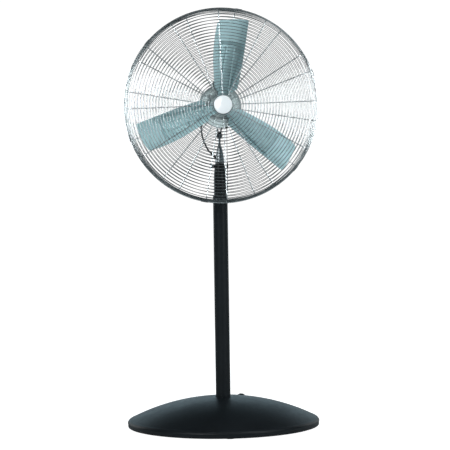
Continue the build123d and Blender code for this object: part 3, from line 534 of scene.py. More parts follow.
def prism(outline, lo, hi, axis, at=(0, 0, 0), steps=1):
    """Closed outline pushed from lo to hi along an axis."""
    V, F = [], []
    n = len(outline)
    for s in range(steps + 1):
        h = lo + (hi - lo) * s / steps
        V += [place(x, y, h, axis, at) for x, y in outline]
    for s in range(steps):
        for i in range(n):
            j = (i + 1) % n
            F.append((s * n + i, s * n + j, (s + 1) * n + j, (s + 1) * n + i))
    F.append(tuple(range(n)))
    F.append(tuple(steps * n + i for i in reversed(range(n))))
    return V, F


def rounded_rect(w, h, r, n=8):
    out = []
    for cx, cy, a in ((w / 2 - r, h / 2 - r, 0), (-w / 2 + r, h / 2 - r, 90), (-w / 2 + r, -h / 2 + r, 180), (w / 2 - r, -h / 2 + r, 270)):
        for i in range(n + 1):
            t = radians(a + 90 * i / n)
            out.append((cx + r * cos(t), cy + r * sin(t)))
    return out


def hexagon(r, turn=0.0):
    return [(r * cos(radians(60 * i + turn)), r * sin(radians(60 * i + turn))) for i in range(6)]


def tube(points, r, sides=12, closed=False, cap=True):
    """Round rod along points, with a frame that doesn't twist."""
    P = [Vector(p) for p in points]
    n = len(P)
    T = []
    for i in range(n):
        a = P[i - 1] if (i > 0 or closed) else P[0]
        b = P[(i + 1) % n] if (i < n - 1 or closed) else P[-1]
        T.append((b - a).normalized())
    ref = Vector((0, 0, 1)) if abs(T[0].z) < 0.9 else Vector((1, 0, 0))
    N = (ref - T[0] * ref.dot(T[0])).normalized()
    V, F = [], []
    for i in range(n):
        N = (N - T[i] * N.dot(T[i])).normalized()
        B = T[i].cross(N)
        rad = r[i] if isinstance(r, (list, tuple)) else r
        for j in range(sides):
            t = 2 * pi * j / sides
            V.append(tuple(P[i] + N * (rad * cos(t)) + B * (rad * sin(t))))
    for i in range(n if closed else n - 1):
        for j in range(sides):
            k = (j + 1) % sides
            a, b = i * sides, ((i + 1) % n) * sides
            F.append((a + j, a + k, b + k, b + j))
    if cap and not closed:
        F.append(tuple(reversed(range(sides))))
        F.append(tuple((n - 1) * sides + j for j in range(sides)))
    return V, F


def ring(R, y, r, segs=240, sides=10):
    """Wire ring about the propeller axis."""
    V, F = [], []
    for i in range(segs):
        t = 2 * pi * i / segs
        for j in range(sides):
            s = 2 * pi * (j + 0.5) / sides
            q = R + r * cos(s)
            V.append((q * cos(t), y + r * sin(s), HUB_Z + q * sin(t)))
    for i in range(segs):
        a, b = i * sides, ((i + 1) % segs) * sides
        for j in range(sides):
            k = (j + 1) % sides
            F.append((a + j, b + j, b + k, a + k))
    return V, F


def ball(c, rx, ry, rz, seg=10, rings_=6):
    V, F = [], []
    V.append((c[0], c[1], c[2] + rz))
    for i in range(1, rings_):
        p = pi * i / rings_
        for j in range(seg):
            t = 2 * pi * j / seg
            V.append((c[0] + rx * sin(p) * cos(t), c[1] + ry * sin(p) * sin(t), c[2] + rz * cos(p)))
    V.append((c[0], c[1], c[2] - rz))
    for j in range(seg):
        F.append((0, 1 + j, 1 + (j + 1) % seg))
        for i in range(rings_ - 2):
            a, b = 1 + i * seg, 1 + (i + 1) * seg
            F.append((a + j, b + j, b + (j + 1) % seg, a + (j + 1) % seg))
        a = 1 + (rings_ - 2) * seg
        F.append((a + (j + 1) % seg, a + j, len(V) - 1))
    return V, F


# ================================================================== CAMERA, CORDS FIRST
CAM = (-0.5386, -7.7726, 1.134675)
yaw, pitch, roll = radians(4.106843), radians(-1.689561), radians(-0.852057)
fwd = Vector((sin(yaw) * cos(pitch), cos(yaw) * cos(pitch), sin(pitch)))
right = Vector((cos(yaw), -sin(yaw), 0))
up = right.cross(fwd)
r2 = right * cos(roll) + up * sin(roll)
u2 = -right * sin(roll) + up * cos(roll)
cam_data = bpy.data.cameras.new("camera")
cam_data.lens = 138.549
cam_data.sensor_width = 36.0
cam_data.clip_end = 200.0
cam = bpy.data.objects.new("camera", cam_data)
bpy.context.scene.collection.objects.link(cam)
cam.matrix_world = Matrix(((r2.x, u2.x, -fwd.x, CAM[0]), (r2.y, u2.y, -fwd.y, CAM[1]), (r2.z, u2.z, -fwd.z, CAM[2]), (0, 0, 0, 1)))
bpy.context.scene.camera = cam


def spline_points(name, route, res=12):
    """Points of a smooth NURBS line whose control points are the route, in metres."""
    cu = bpy.data.curves.new(name, "CURVE")
    cu.dimensions = "3D"
    sp = cu.splines.new("NURBS")
    sp.points.add(len(route) - 1)
    for p, q in zip(sp.points, route):
        p.co = (*q, 1.0)
    sp.order_u = 3
    sp.use_endpoint_u = True
    sp.resolution_u = res
    cu.resolution_u = res
    ob = bpy.data.objects.new(name, cu)
    bpy.context.scene.collection.objects.link(ob)
    dg = bpy.context.evaluated_depsgraph_get()
    dg.update()
    me = bpy.data.meshes.new_from_object(ob.evaluated_get(dg))
    pts = [v.co.copy() for v in me.vertices]
    bpy.data.meshes.remove(me)
    bpy.data.objects.remove(ob)
    bpy.data.curves.remove(cu)
    return pts


lead_route = [(-0.080, 0.018, 1.350), (-0.080, 0.018, 1.322), (-0.072, 0.0125, 1.290), (-0.0615, 0.0065, 1.262),
              (-0.04773, 0.0, 1.23526), (-0.02925, 0.0, 1.21995)]
lead_pts = spline_points("lead_line", lead_route, 14)
V, F = tube([p / MM for p in lead_pts], 3.7, 20)
lead = make("lead_tube", V, F, "lead_jacket", "head", ("motor_lead",))
lead.parent = None
lead.matrix_world = Matrix.Identity(4)
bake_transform(lead)

cord_route = [(0.036, 0.028, 1.160), (0.036, 0.028, 1.112), (0.036, 0.028, 1.064)]
cord_pts = spline_points("cord_line", cord_route, 16)
V, F = tube([p / MM for p in cord_pts], 1.5, 16)
cord = make("cord_tube", V, F, "pull_cord_black", "pull_chain", ("pull_cord",))
knot_geo = Geo()
for k, (dz, rr) in enumerate(((0.0, 1.9), (-2.2, 2.1), (-4.2, 1.8))):
    loop = []
    for i in range(28):
        t = 2 * pi * i / 28
        loop.append((36 + 1.05 * cos(t), 28 + 1.05 * sin(t), 1062.1 + dz + 0.7 * sin(t + k * 2.1)))
    knot_geo.add(*tube(loop, rr * 0.68, 10, closed=True))
knot_geo.add(*ball((36, 28, 1060), 1.9, 1.9, 3.6, 16, 10))
knot_geo.add(*tube([(36, 28, 1058.5), (36.2, 28.1, 1057.2), (36.3, 28.1, 1056.2)], [1.5, 1.5, 1.25], 12))
knot = make("cord_end_knot", knot_geo.V, knot_geo.F, "pull_cord_black", "pull_chain", ("cord_knot",), angle=60)


# ================================================================== BASE
CROWN, DOME_R = 133.0, 944.8


def dome_z(r, off=0.0):
    return CROWN - DOME_R + sqrt((DOME_R - off) ** 2 - r * r)


prof = [(33.9 + (418 - 33.9) * i / 56, dome_z(33.9 + (418 - 33.9) * i / 56)) for i in range(57)]
prof += arc3((418, dome_z(418)), (427.0, 30.6), (431.6, 24.0), 10)[1:]
prof += arc3((431.6, 24.0), (432.0, 21.5), (430.4, 19.0), 8)[1:]
prof += [(430.4, 17.5), (430.4, 6.5), (430.2, 5.0), (429.4, 4.2), (428.4, 4.0), (427.4, 4.4), (427.4, 20.0)]
inner = arc3((427.4, 20.0), (423.2, 28.0), (416.5, dome_z(416.5, 3.0)), 8)[1:]
prof += inner
prof += [(416.5 - (416.5 - 33.9) * i / 30, dome_z(416.5 - (416.5 - 33.9) * i / 30, 3.0)) for i in range(1, 31)]
V, F = lathe(prof, segs=256)
make("base_dome", V, F, "black_enamel", "base", ("base_shell",), angle=40)

feet = Geo()
for k in range(6):
    t = radians(30 + 60 * k)
    p = soften([(0, 0), (20.6, 0), (22, 1.0), (22, 4.0), (0, 4.0)], 0.6)
    p = [(0, 0), (6, 0), (7, 0.5), (12, 0.5), (13, 0)] + [q for q in p if q[0] > 13] + [(0, 4.0)]
    feet.add(*lathe(p, at=(392 * cos(t), 392 * sin(t), 0), segs=48))
make("foot_pads", feet.V, feet.F, "black_rubber", "base", ("rubber_feet",))

gl_x, gl_y = 92.0, 118.0
gl_r = hypot(gl_x, gl_y)
gl_n = Vector((gl_x, gl_y, dome_z(gl_r) - (CROWN - DOME_R))).normalized()
gl_o = Vector((gl_x, gl_y, dome_z(gl_r))) + gl_n * 0.4
q = Vector((0, 0, 1)).rotation_difference(gl_n)
prof = soften([(3.9, -9), (8, -9), (8, 0), (17, 0), (17, 1.5), (15.8, 2.2), (12.5, 2.2), (11.6, 3.6), (11.0, 3.8), (10.2, 5.2), (8.5, 6.2), (3.9, 6.2)], 0.4)
V, F = lathe(prof, segs=56)
make("outlet_gland", V, F, "black_rubber", "base", ("supply_gland",),
     matrix=Matrix.Translation(gl_o * MM) @ q.to_matrix().to_4x4())

# ------------------------------------------------------------------ column
prof = soften([(31, 7), (33, 7), (33, 1035), (31, 1035)], 0.7)
full = []
for a, b in zip(prof, prof[1:] + prof[:1]):
    full.append(a)
    if abs(b[1] - a[1]) > 60:
        full += [(a[0], a[1] + (b[1] - a[1]) * i / 24) for i in range(1, 24)]
V, F = lathe(full, segs=128)
make("column_tube", V, F, "black_enamel", "base", ("column",))
prof = soften([(28.05, 965.4), (31, 965.4), (31, 1035), (33, 1035), (33, 1036.6), (32.2, 1038), (28.05, 1038)], 0.4)
V, F = lathe(prof, segs=96)
make("column_collar", V, F, "nylon_black", "base", ("column_bushing",))
prof = soften([(6.1, 20), (14, 20), (14, 50), (6.1, 50)], 1.2)
V, F = lathe([(r, h) for r, h in prof], "Y", at=(0, 0, 995), segs=64)
# the foot of the boss follows the column wall, clear of the mast inside it
V = [(p[0], max(p[1], sqrt(1024.0 - p[0] * p[0])), p[2]) for p in V]
g = Geo().add(V, F)
bead = []
for i in range(72):
    t = 2 * pi * i / 72
    x, z = 14.0 * cos(t), 14.0 * sin(t)
    bead.append((x, sqrt(max(0.0, 33.0 ** 2 - x * x)) + 0.6, 995 + z))
g.add(*tube(bead, 1.6, 10, closed=True))
make("lock_boss_weld", g.V, g.F, "black_enamel", "base", ("lock_boss",))


def lobes(r, t, h):
    best = r
    for k in range(5):
        d = t - radians(72 * k)
        d = (d + pi) % (2 * pi) - pi
        s = r / 22.0
        if abs(22 * s * sin(d)) < 7.5 * s and cos(d) > 0:
            best = max(best, 22 * s * cos(d) + sqrt((7.5 * s) ** 2 - (22 * s * sin(d)) ** 2))
    return best


knob_p = [(0.01, 52), (9, 52.0), (20.5, 52.0), (21.4, 52.4), (22, 53.2), (22, 68.6), (21.5, 70.3), (20.4, 71.5), (18.8, 72), (11, 72), (10, 71.2), (8, 70.6), (0.01, 70.6)]
V, F = lathe(knob_p, "Y", at=(0, 0, 995), segs=200, mod=lobes)
g = Geo().add(V, F)
g.add(*lathe(soften([(0, 50.4), (12, 50.4), (12, 52.4), (0, 52.4)], 0.5), "Y", at=(0, 0, 995), segs=48))
make("height_lock_knob", g.V, g.F, "nylon_black", "height_lock", ("height_knob",), angle=38)
stud_p = [(0, 28.6), (5.2, 28.6), (5.95, 29.4)]
h = 29.4
while h < 49.0:
    stud_p += [(5.95, h), (5.45, h + 0.5), (5.95, h + 1.0)]
    h += 1.0
stud_p += [(5.95, 52.5), (0, 52.5)]
V, F = lathe(stud_p, "Y", at=(0, 0, 995), segs=36)
make("height_lock_stud", V, F, "zinc_hardware", "height_lock", angle=60)

# ================================================================== MAST
prof = soften([(26, 560), (28, 560), (28, 1105), (26, 1105)], 0.5)
full = []
for a, b in zip(prof, prof[1:] + prof[:1]):
    full.append(a)
    if abs(b[1] - a[1]) > 60:
        full += [(a[0], a[1] + (b[1] - a[1]) * i / 16) for i in range(1, 16)]
V, F = lathe(full, segs=112)
make("mast_pipe", V, F, "black_mast", "mast", ("mast_tube",))
arc = arc3((28, 1105), (25.9, 1146), (21.2, 1182), 22)
prof = [(10.05, 1085), (25.95, 1085), (25.95, 1104.6), (27.6, 1104.7), (27.9, 1105.2)] + [(r, z) for r, z in arc[1:-1]] + \
       [(21.45, 1180.6), (21.0, 1181.6), (20.2, 1182.0), (11.2, 1182.0), (10.05, 1181.0)]
V, F = lathe(prof, segs=112)
g = Geo().add(V, F)
g.add(*lathe(soften([(4.05, -27.0), (7.4, -27.0), (7.4, -18.0), (4.05, -18.0)], 0.6), "X", at=(0, 0, 1171), segs=40))
make("mast_reducer", g.V, g.F, "black_mast", "mast", ("mast_head",))
V, F = lathe(soften([(10.4, 1182), (20, 1182), (20, 1183.5), (10.4, 1183.5)], 0.3), segs=80)
make("swivel_washer", V, F, "zinc_hardware", "mast", ("thrust_washer",))

# wing bolt
g = Geo()
g.add(*lathe(soften([(0, -40), (6.5, -40), (6.5, -27.4), (5.4, -27.4), (0, -27.4)], 1.1), "X", at=(0, 0, 1171), segs=48))
stud_p = [(0, -27.6), (4.0, -27.6)]
h = -27.4
while h < -11.5:
    stud_p += [(4.0, h), (3.6, h + 0.4), (4.0, h + 0.8)]
    h += 0.8
stud_p += [(3.4, -10.6), (0, -10.6)]
g.add(*lathe(stud_p, "X", at=(0, 0, 1171), segs=32))
make("wing_bolt_shank", g.V, g.F, "zinc_hardware", "swivel_lock", ("swivel_wing_bolt",), angle=50)
wing = [(-30.5, 1171), (-31.5, 1175), (-36, 1181.2), (-41, 1182.8), (-45.0, 1182.6), (-46.8, 1180.4), (-46.2, 1177.2), (-42.6, 1174.4), (-40.8, 1171)]
wing += [(x, 2 * 1171 - z) for x, z in reversed(wing[1:-1])]
smooth_wing = []
for i in range(len(wing)):
    p0, p1, p2, p3 = (Vector(wing[(i + k) % len(wing)]) for k in (-1, 0, 1, 2))
    for j in range(5):
        t = j / 5
        c = 0.5 * ((2 * p1) + (-p0 + p2) * t + (2 * p0 - 5 * p1 + 4 * p2 - p3) * t * t + (-p0 + 3 * p1 - 3 * p2 + p3) * t ** 3)
        smooth_wing.append((max(-47.0, c.x), min(1183.0, max(1159.0, c.y))))
V, F = prism(smooth_wing, -2.0, 2.0, "Y")
make("wing_bolt_wings", V, F, "zinc_hardware", "swivel_lock", bevel=1.0, segs=3, angle=50)

# ================================================================== NECK
neck_c = [(21.4, 1190), (20.55, 1197), (19.6, 1205), (18.3, 1215), (16.85, 1224), (15.25, 1232.5), (13.4, 1241), (11.35, 1249), (9.4, 1256), (7.4, 1262), (6.0, 1268)]
fine = []
for i in range(len(neck_c) - 1):
    p0 = Vector(neck_c[max(0, i - 1)])
    p1, p2 = Vector(neck_c[i]), Vector(neck_c[i + 1])
    p3 = Vector(neck_c[min(len(neck_c) - 1, i + 2)])
    for j in range(4):
        t = j / 4
        c = 0.5 * ((2 * p1) + (-p0 + p2) * t + (2 * p0 - 5 * p1 + 4 * p2 - p3) * t * t + (-p0 + 3 * p1 - 3 * p2 + p3) * t ** 3)
        fine.append((c.x, c.y))
prof = [(0, 1120), (9, 1120), (10, 1121), (10, 1183.8), (20.6, 1183.8), (21.2, 1184.1), (21.4, 1184.8), (21.4, 1187.5)] + fine + [(6.0, 1268), (5.2, 1269.4), (0, 1269.8)]


def flutes(r, t, z):
    if z < 1186.0 or z > 1244.0 or r < 9:
        return r
    c = 25.6 - 0.14 * (z - 1186.5)
    best = r
    for k in range(4):
        d = t - radians(45 + 90 * k)
        d = (d + pi) % (2 * pi) - pi
        if abs(c * sin(d)) < 6.0 and cos(d) > 0:
            cut = c * cos(d) - sqrt(36.0 - (c * sin(d)) ** 2)
            best = min(best, cut)
    fade = min(1.0, (1244.0 - z) / 6.0, (z - 1186.0) / 2.0)
    return r + (best - r) * max(0.0, fade)


V, F = lathe(prof, segs=192, mod=flutes)
g = Geo().add(V, F)
neck = make("neck_ogive", g.V, g.F, "neck_zinc", "neck", ("neck_casting",), angle=34)
ton = [(-9, 1240), (9, 1240)] + [(15, 1296)] + [(15 * cos(radians(a)), TILT_Z + 15 * sin(radians(a))) for a in range(0, 181, 9)] + [(-15, 1296)]
V, F = prism(ton, -4, 4, "X")
make("neck_tongue", V, F, "neck_zinc", "neck", bevel=0.9, segs=3)
gd = Vector((-0.77, 0, 0.638)).normalized()
go = Vector((-10, 0, 1204)) + gd * 9.0
q = Vector((0, 0, 1)).rotation_difference(gd)
prof = soften([(0, 0), (8.5, 0), (8.5, 4), (7.0, 4), (6.7, 6), (6.0, 6.3), (5.9, 8.2), (5.5, 8.5), (5.3, 11), (4.95, 11.3), (4.8, 16), (0, 16)], 0.5)
V, F = lathe(prof, segs=48)
make("neck_lead_gland", V, F, "black_rubber", "neck", ("neck_gland",), matrix=Matrix.Translation(go * MM) @ q.to_matrix().to_4x4())

# ================================================================== TILT BRACKET
g = Geo()
sad = []
for i in range(25):
    a = radians(253 + 34 * i / 24)
    sad.append((83.0 * cos(a), HUB_Z + 83.0 * sin(a)))
for i in range(25):
    a = radians(287 - 34 * i / 24)
    sad.append((87.0 * cos(a), HUB_Z + 87.0 * sin(a)))
V, F = prism(sad, -25, 45, "Y")
make("tilt_saddle", V, F, "bracket_steel", "head", ("tilt_bracket",), bevel=0.8)
for s in (-1, 1):
    ear = [(s * 4.4, 1293), (s * 8.4, 1293), (s * 8.4, 1322), (s * 9.2, 1328), (s * 15.9, 1349), (s * 16.5, 1353), (s * 11.5, 1353), (s * 10.9, 1350), (s * 4.9, 1331), (s * 4.4, 1326)]
    V, F = prism(ear, -15, 15, "Y")
    make("tilt_ear_" + ("left" if s < 0 else "right"), V, F, "bracket_steel", "head", bevel=0.8)
V, F = prism(hexagon(9.2, 0), -14.0, -8.4, "X", at=(0, 0, TILT_Z))
g = Geo().add(V, F)
make("tilt_bolt_head", g.V, g.F, "zinc_hardware", "head", ("tilt_bolt",), bevel=0.7)
V, F = lathe(soften([(0, -9), (4.98, -9), (4.98, 13.6), (0, 13.6)], 0.8), "X", at=(0, 0, TILT_Z), segs=40)
make("tilt_bolt_shank", V, F, "zinc_hardware", "head")
V, F = prism(hexagon(9.2, 0), 8.4, 13.0, "X", at=(0, 0, TILT_Z))
make("tilt_lock_nut", V, F, "zinc_hardware", "head", ("tilt_nut",), bevel=0.7)

# ================================================================== MOTOR
prof = soften([(79, -58), (83, -58), (83, 66), (79, 66)], 0.6)
full = []
for a, b in zip(prof, prof[1:] + prof[:1]):
    full.append(a)
    if abs(b[1] - a[1]) > 40:
        full += [(a[0], a[1] + (b[1] - a[1]) * i / 12) for i in range(1, 12)]
V, F = lathe(full, "Y", at=(0, 0, HUB_Z), segs=160)
make("motor_can", V, F, "motor_enamel", "head", ("motor_shell",))
bp = [(12, -86), (22, -86), (25, -84), (27, -80), (80, -80), (83, -77), (83, -58), (79, -58), (77, -74), (24, -74), (24, -64), (20, -64), (20, -78), (12, -78)]
V, F = lathe(soften(bp, 1.2), "Y", at=(0, 0, HUB_Z), segs=160)
make("motor_bell_front", V, F, "motor_casting", "head", ("motor_front_bell",))
bp = [(79, 66), (83, 66), (83, 74), (77, 84), (66, 90), (50, 92), (30, 92), (26, 96), (0, 96), (0, 91), (16, 91), (16, 82), (20, 82), (20, 68), (24, 68),
      (26, 84), (50, 86), (64, 84), (74, 79), (79, 72)]
V, F = lathe(soften(bp, 2.0), "Y", at=(0, 0, HUB_Z), segs=160)
me = bpy.data.meshes.new("bell")
me.from_pydata([tuple(c * MM for c in v) for v in V], [], F)
bell = bpy.data.objects.new("motor_bell_rear", me)
bpy.context.scene.collection.objects.link(bell)
recalc(me)
cut = Geo()
for k in range(12):
    t = radians(30 * k)
    o = []
    for a in range(-90, 91, 15):
        o.append((9.5 + 3.5 * cos(radians(a)), 3.5 * sin(radians(a))))
    for a in range(90, 271, 15):
        o.append((-9.5 + 3.5 * cos(radians(a)), 3.5 * sin(radians(a))))
    o = [((48 + x) * cos(t) - y * sin(t), (48 + x) * sin(t) + y * cos(t)) for x, y in o]
    cut.add(*prism(o, 76, 104, "Y", at=(0, 0, HUB_Z)))
cm = bpy.data.meshes.new("slots")
cm.from_pydata([tuple(c * MM for c in v) for v in cut.V], [], cut.F)
recalc(cm)
cutter = bpy.data.objects.new("slots", cm)
bpy.context.scene.collection.objects.link(cutter)
md = bell.modifiers.new("slots", "BOOLEAN")
md.operation = "DIFFERENCE"
md.solver = "EXACT"
md.object = cutter
bake_mods(bell)
bpy.data.objects.remove(cutter)
finish_mesh(bell, "motor_casting", 34)
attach(bell, "head")
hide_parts("motor_rear_bell")
# capacitor case
out = rounded_rect(52, 50, 20, 12)
V, F = [], []
steps = [(2, 4.0), (2.3, 2.5), (3.2, 1.2), (4.6, 0.3), (6, 0)] + [(6 + 58 * i / 8, 0) for i in range(1, 8)] + [(64, 0), (65.4, 0.3), (66.8, 1.2), (67.7, 2.5), (68, 4.0)]
n = len(out)
for y, s in steps:
    for x, z in out:
        kx, kz = (26 - s) / 26, (25 - s) / 25
        V.append((x * kx, y, HUB_Z + 98 + z * kz))
for i in range(len(steps) - 1):
    for j in range(n):
        k = (j + 1) % n
        F.append((i * n + j, i * n + k, (i + 1) * n + k, (i + 1) * n + j))
F.append(tuple(range(n)))
F.append(tuple((len(steps) - 1) * n + j for j in reversed(range(n))))
make("capacitor_cover", V, F, "motor_enamel", "head", ("capacitor_case",), angle=40)
# terminal box
V, F = prism(rounded_rect(58, 56, 5, 6), 1372, 1432, "Z", at=(-89, 22, 0))
make("terminal_housing", V, F, "motor_enamel", "head", ("terminal_box",), bevel=1.6, segs=3, bevel_angle=60)
V, F = prism(rounded_rect(48, 50, 4, 6), -120.5, -118, "X", at=(0, 22, 1401))
make("terminal_lid", V, F, "motor_enamel", "head", ("terminal_box_cover",), bevel=0.7, segs=2, bevel_angle=60)
g = Geo()
for sy in (-19, 19):
    for sz in (-20, 20):
        p = soften([(0, -122.0), (0.8, -122.0), (0.8, -121.6), (1.4, -121.9), (2.6, -122.5), (3.4, -121.4), (3.4, -120.5), (0, -120.5)], 0.3)
        g.add(*lathe(p, "X", at=(0, 22 + sy, 1401 + sz), segs=32))
make("lid_screws", g.V, g.F, "zinc_hardware", "head", ("cover_screws",))
g = Geo()
g.add(*prism(hexagon(9.5, 0), 1368, 1372, "Z", at=(-80, 18, 0)))
make("strain_relief_nut", g.V, g.F, "nylon_black", "head", bevel=0.6)
prof = [(0, 1350), (4.8, 1350)]
for i in range(6):
    z = 1351.2 + i * 2.6
    r = 4.8 + 2.7 * (z - 1350) / 18
    prof += [(r + 0.1, z), (r - 0.35, z + 0.7), (r - 0.35, z + 1.4), (r + 0.35, z + 2.0)]
prof += [(7.5, 1367.6), (7.5, 1368.2), (0, 1368.2)]
V, F = lathe(prof, at=(-80, 18, 0), segs=44)
make("strain_relief_boot", V, F, "black_rubber", "head", ("lead_strain_relief",), angle=50)

# ================================================================== PULL SWITCH AND CHAIN
CX, CY = 36.0, 28.0
prof = soften([(2.6, 1340), (5.0, 1340), (5.0, 1342), (8.5, 1342), (8.5, 1366), (2.6, 1366)], 0.6)
V, F = lathe(prof, at=(CX, CY, 0), segs=48)
make("pull_switch_body", V, F, "nylon_black", "head", ("pull_switch",))
prof = soften([(0, 1329), (3.0, 1329), (3.0, 1332), (2.2, 1332.4), (2.2, 1352), (0, 1352)], 0.4)
V, F = lathe(prof, at=(CX, CY, 0), segs=32)
make("switch_plunger", V, F, "zinc_hardware", "switch_stem", ("switch_stem",))
g = Geo()
z = 1327.0
while z > 1185.0:
    g.add(*ball((CX, CY, z), 1.62, 1.62, 1.62, 14, 9))
    g.add(*tube([(CX, CY, z - 1.2), (CX, CY, z - 2.6)], 0.5, 8))
    z -= 3.62
g.add(*ball((CX, CY, 1185.2), 1.7, 1.7, 1.7, 14, 9))
make("bead_chain_run", g.V, g.F, "bead_chain", "pull_chain", ("pull_chain",), angle=60)
arc = arc3((4.2, 1163), (4.0, 1174), (2.4, 1184), 14)
prof = [(0, 1160.8), (1.6, 1160.6), (1.9, 1160), (2.9, 1160), (3.9, 1161.4)] + arc[:-1] + [(2.3, 1183.4), (1.9, 1184), (0, 1184)]
V, F = lathe(prof, at=(CX, CY, 0), segs=40)
make("chain_bell_end", V, F, "nylon_black", "pull_chain", ("chain_bell",), angle=40)


# ================================================================== GUARD
def basket(inner, corner, end, fillet_r):
    v1 = Vector(corner) - Vector(inner)
    v2 = Vector(end) - Vector(corner)
    half = v1.angle(v2) / 2
    cut_ = fillet_r * tan(half)
    l1, l2, arc_ = v1.length - cut_, v2.length - cut_, fillet_r * 2 * half
    d1, d2 = v1.normalized(), v2.normalized()
    side = 1 if d1.x * d2.y - d1.y * d2.x > 0 else -1
    n1 = Vector((-d1.y * side, d1.x * side))
    c = Vector(inner) + d1 * l1 + n1 * fillet_r
    out_ = []
    k = 0
    while True:
        s = k * RING_PITCH
        if s > l1 + arc_ + l2 - 9.0:
            break
        if s <= l1:
            p, b = Vector(inner) + d1 * s, 0
        elif s <= l1 + arc_:
            th = (s - l1) / fillet_r * side
            w = Vector(inner) + d1 * l1 - c
            p, b = c + Vector((w.x * cos(th) - w.y * sin(th), w.x * sin(th) + w.y * cos(th))), 1
        else:
            p, b = Vector(corner) + d2 * (s - l1 - arc_ + cut_), 1
        out_.append((p.x, p.y, b))
        k += 1
    return out_


def inset(inner, corner, end, d):
    v1 = (Vector(corner) - Vector(inner)).normalized()
    v2 = (Vector(end) - Vector(corner)).normalized()
    side = 1 if v1.x * v2.y - v1.y * v2.x > 0 else -1
    n1, n2 = Vector((-v1.y * side, v1.x * side)), Vector((-v2.y * side, v2.x * side))
    half = v1.angle(v2) / 2
    mid = (n1 + n2).normalized() * (d / cos(half))
    return (inner[0] + n1.x * d, inner[1] + n1.y * d), (corner[0] + mid.x, corner[1] + mid.y), (end[0] + n2.x * d, end[1] + n2.y * d)


gap = WIRE_R + RIB_R
f_in, f_co, f_en = (49.0, -260.0), (411.0, -245.5), (RIM_R, -167.2)
b_in, b_co, b_en = (101.4, -81.8), (411.0, -94.2), (RIM_R, -160.8)
front = basket(f_in, f_co, f_en, 24.0)
rear = basket(b_in, b_co, b_en, 24.0)
for name, pts, bend, node in (("guard_front_face_rings", front, 0, "front_guard_rings"), ("guard_front_side_rings", front, 1, "front_side_rings"),
                              ("guard_rear_face_rings", rear, 0, "rear_guard_rings"), ("guard_rear_side_rings", rear, 1, "rear_side_rings")):
    g = Geo()
    for R, y, b in pts:
        if b == bend:
            g.add(*ring(R, y, WIRE_R + 0.14, 256 if R > 150 else 160, 10))
    make(name, g.V, g.F, "guard_wire", "head", (node,), angle=70)
for name, y, node in (("guard_front_rim", -167.2, "front_rim"), ("guard_rear_rim", -160.8, "rear_rim")):
    V, F = ring(RIM_R, y, RIM_WIRE, 288, 16)
    make(name, V, F, "guard_wire", "head", (node,), angle=70)


def bent_rod(a, b, c, fillet_r, n=12):
    """Two straight legs of a bent rod with the bend between them."""
    A, B, C = Vector(a), Vector(b), Vector(c)
    u, w = (A - B).normalized(), (C - B).normalized()
    turn = pi - u.angle(w)
    cut_ = fillet_r * tan(turn / 2)
    s, e = B + u * cut_, B + w * cut_
    cen = B + (u + w).normalized() * (fillet_r / cos(turn / 2))
    v0, v1 = s - cen, e - cen
    ang = v0.angle(v1)
    sg = 1 if v0.x * v1.y - v0.y * v1.x > 0 else -1
    pts = [A + (s - A) * i / 10 for i in range(10)]
    for j in range(n + 1):
        t = sg * ang * j / n
        pts.append(cen + Vector((v0.x * cos(t) - v0.y * sin(t), v0.x * sin(t) + v0.y * cos(t))))
    pts += [e + (C - e) * i / 3 for i in range(1, 4)]
    return pts


def around(r, y, ang):
    a = radians(ang)
    return (r * cos(a), y, HUB_Z + r * sin(a))


for name, base_pts, rings_, phase, r0, y1, node in (
        ("guard_front_ribs", (f_in, f_co, f_en), front, 1.8, 38.0, -170.8, "front_guard_ribs"),
        ("guard_rear_ribs", (b_in, b_co, b_en), rear, 20.5, 84.0, -157.2, "rear_guard_ribs")):
    a, b, c = inset(*base_pts, gap)
    c = (c[0] - (c[1] - y1) * (c[0] - b[0]) / (c[1] - b[1]), y1)
    sl = (b[1] - a[1]) / (b[0] - a[0])
    a = (r0, a[1] + sl * (r0 - a[0]))
    path = bent_rod(a, b, c, 24.0 - gap)
    g = Geo()
    w = Geo()
    for k in range(12):
        g.add(*tube([around(p.x, p.y, phase + 30 * k) for p in path], RIB_R, 12))
        for R, y, bd in rings_:
            q = min(path, key=lambda p: hypot(p.x - R, p.y - y))
            # nearest point of the rod to this ring, on its own leg
            best = None
            for p0, p1 in zip(path, path[1:]):
                dd = p1 - p0
                t = max(0.0, min(1.0, (Vector((R, y)) - p0).dot(dd) / dd.length_squared))
                pp = p0 + dd * t
                e = hypot(pp.x - R, pp.y - y)
                if best is None or e < best[0]:
                    best = (e, pp)
            pp = best[1]
            mid = pp + (Vector((R, y)) - pp) * (RIB_R / gap)
            w.add(*ball(around(mid.x, mid.y, phase + 30 * k), 1.35, 0.85, 1.35, 8, 5))
    make(name, g.V, g.F, "guard_rib", "head", (node,), angle=60)
    make(name + "_welds", w.V, w.F, "guard_rib", "head", angle=80)

# clips that hold the rims together
g = Geo()
for k in range(6):
    a = 17 + 60 * k
    prof = [(422.6, -171.6), (430.4, -171.6), (431.0, -171.2), (431.2, -170.6), (431.2, -157.4), (431.0, -156.8), (430.4, -156.4), (422.6, -156.4), (422.6, -157.5),
            (429.6, -157.5), (430.1, -158.0), (430.1, -170.0), (429.6, -170.5), (422.6, -170.5)]
    g.add(*lathe(prof, "Y", at=(0, 0, HUB_Z), segs=8, a0=a - 0.0, a1=a + 4.0))
make("guard_rim_clips", g.V, g.F, "guard_wire", "head", ("rim_clips",), bevel=0.25, segs=2)

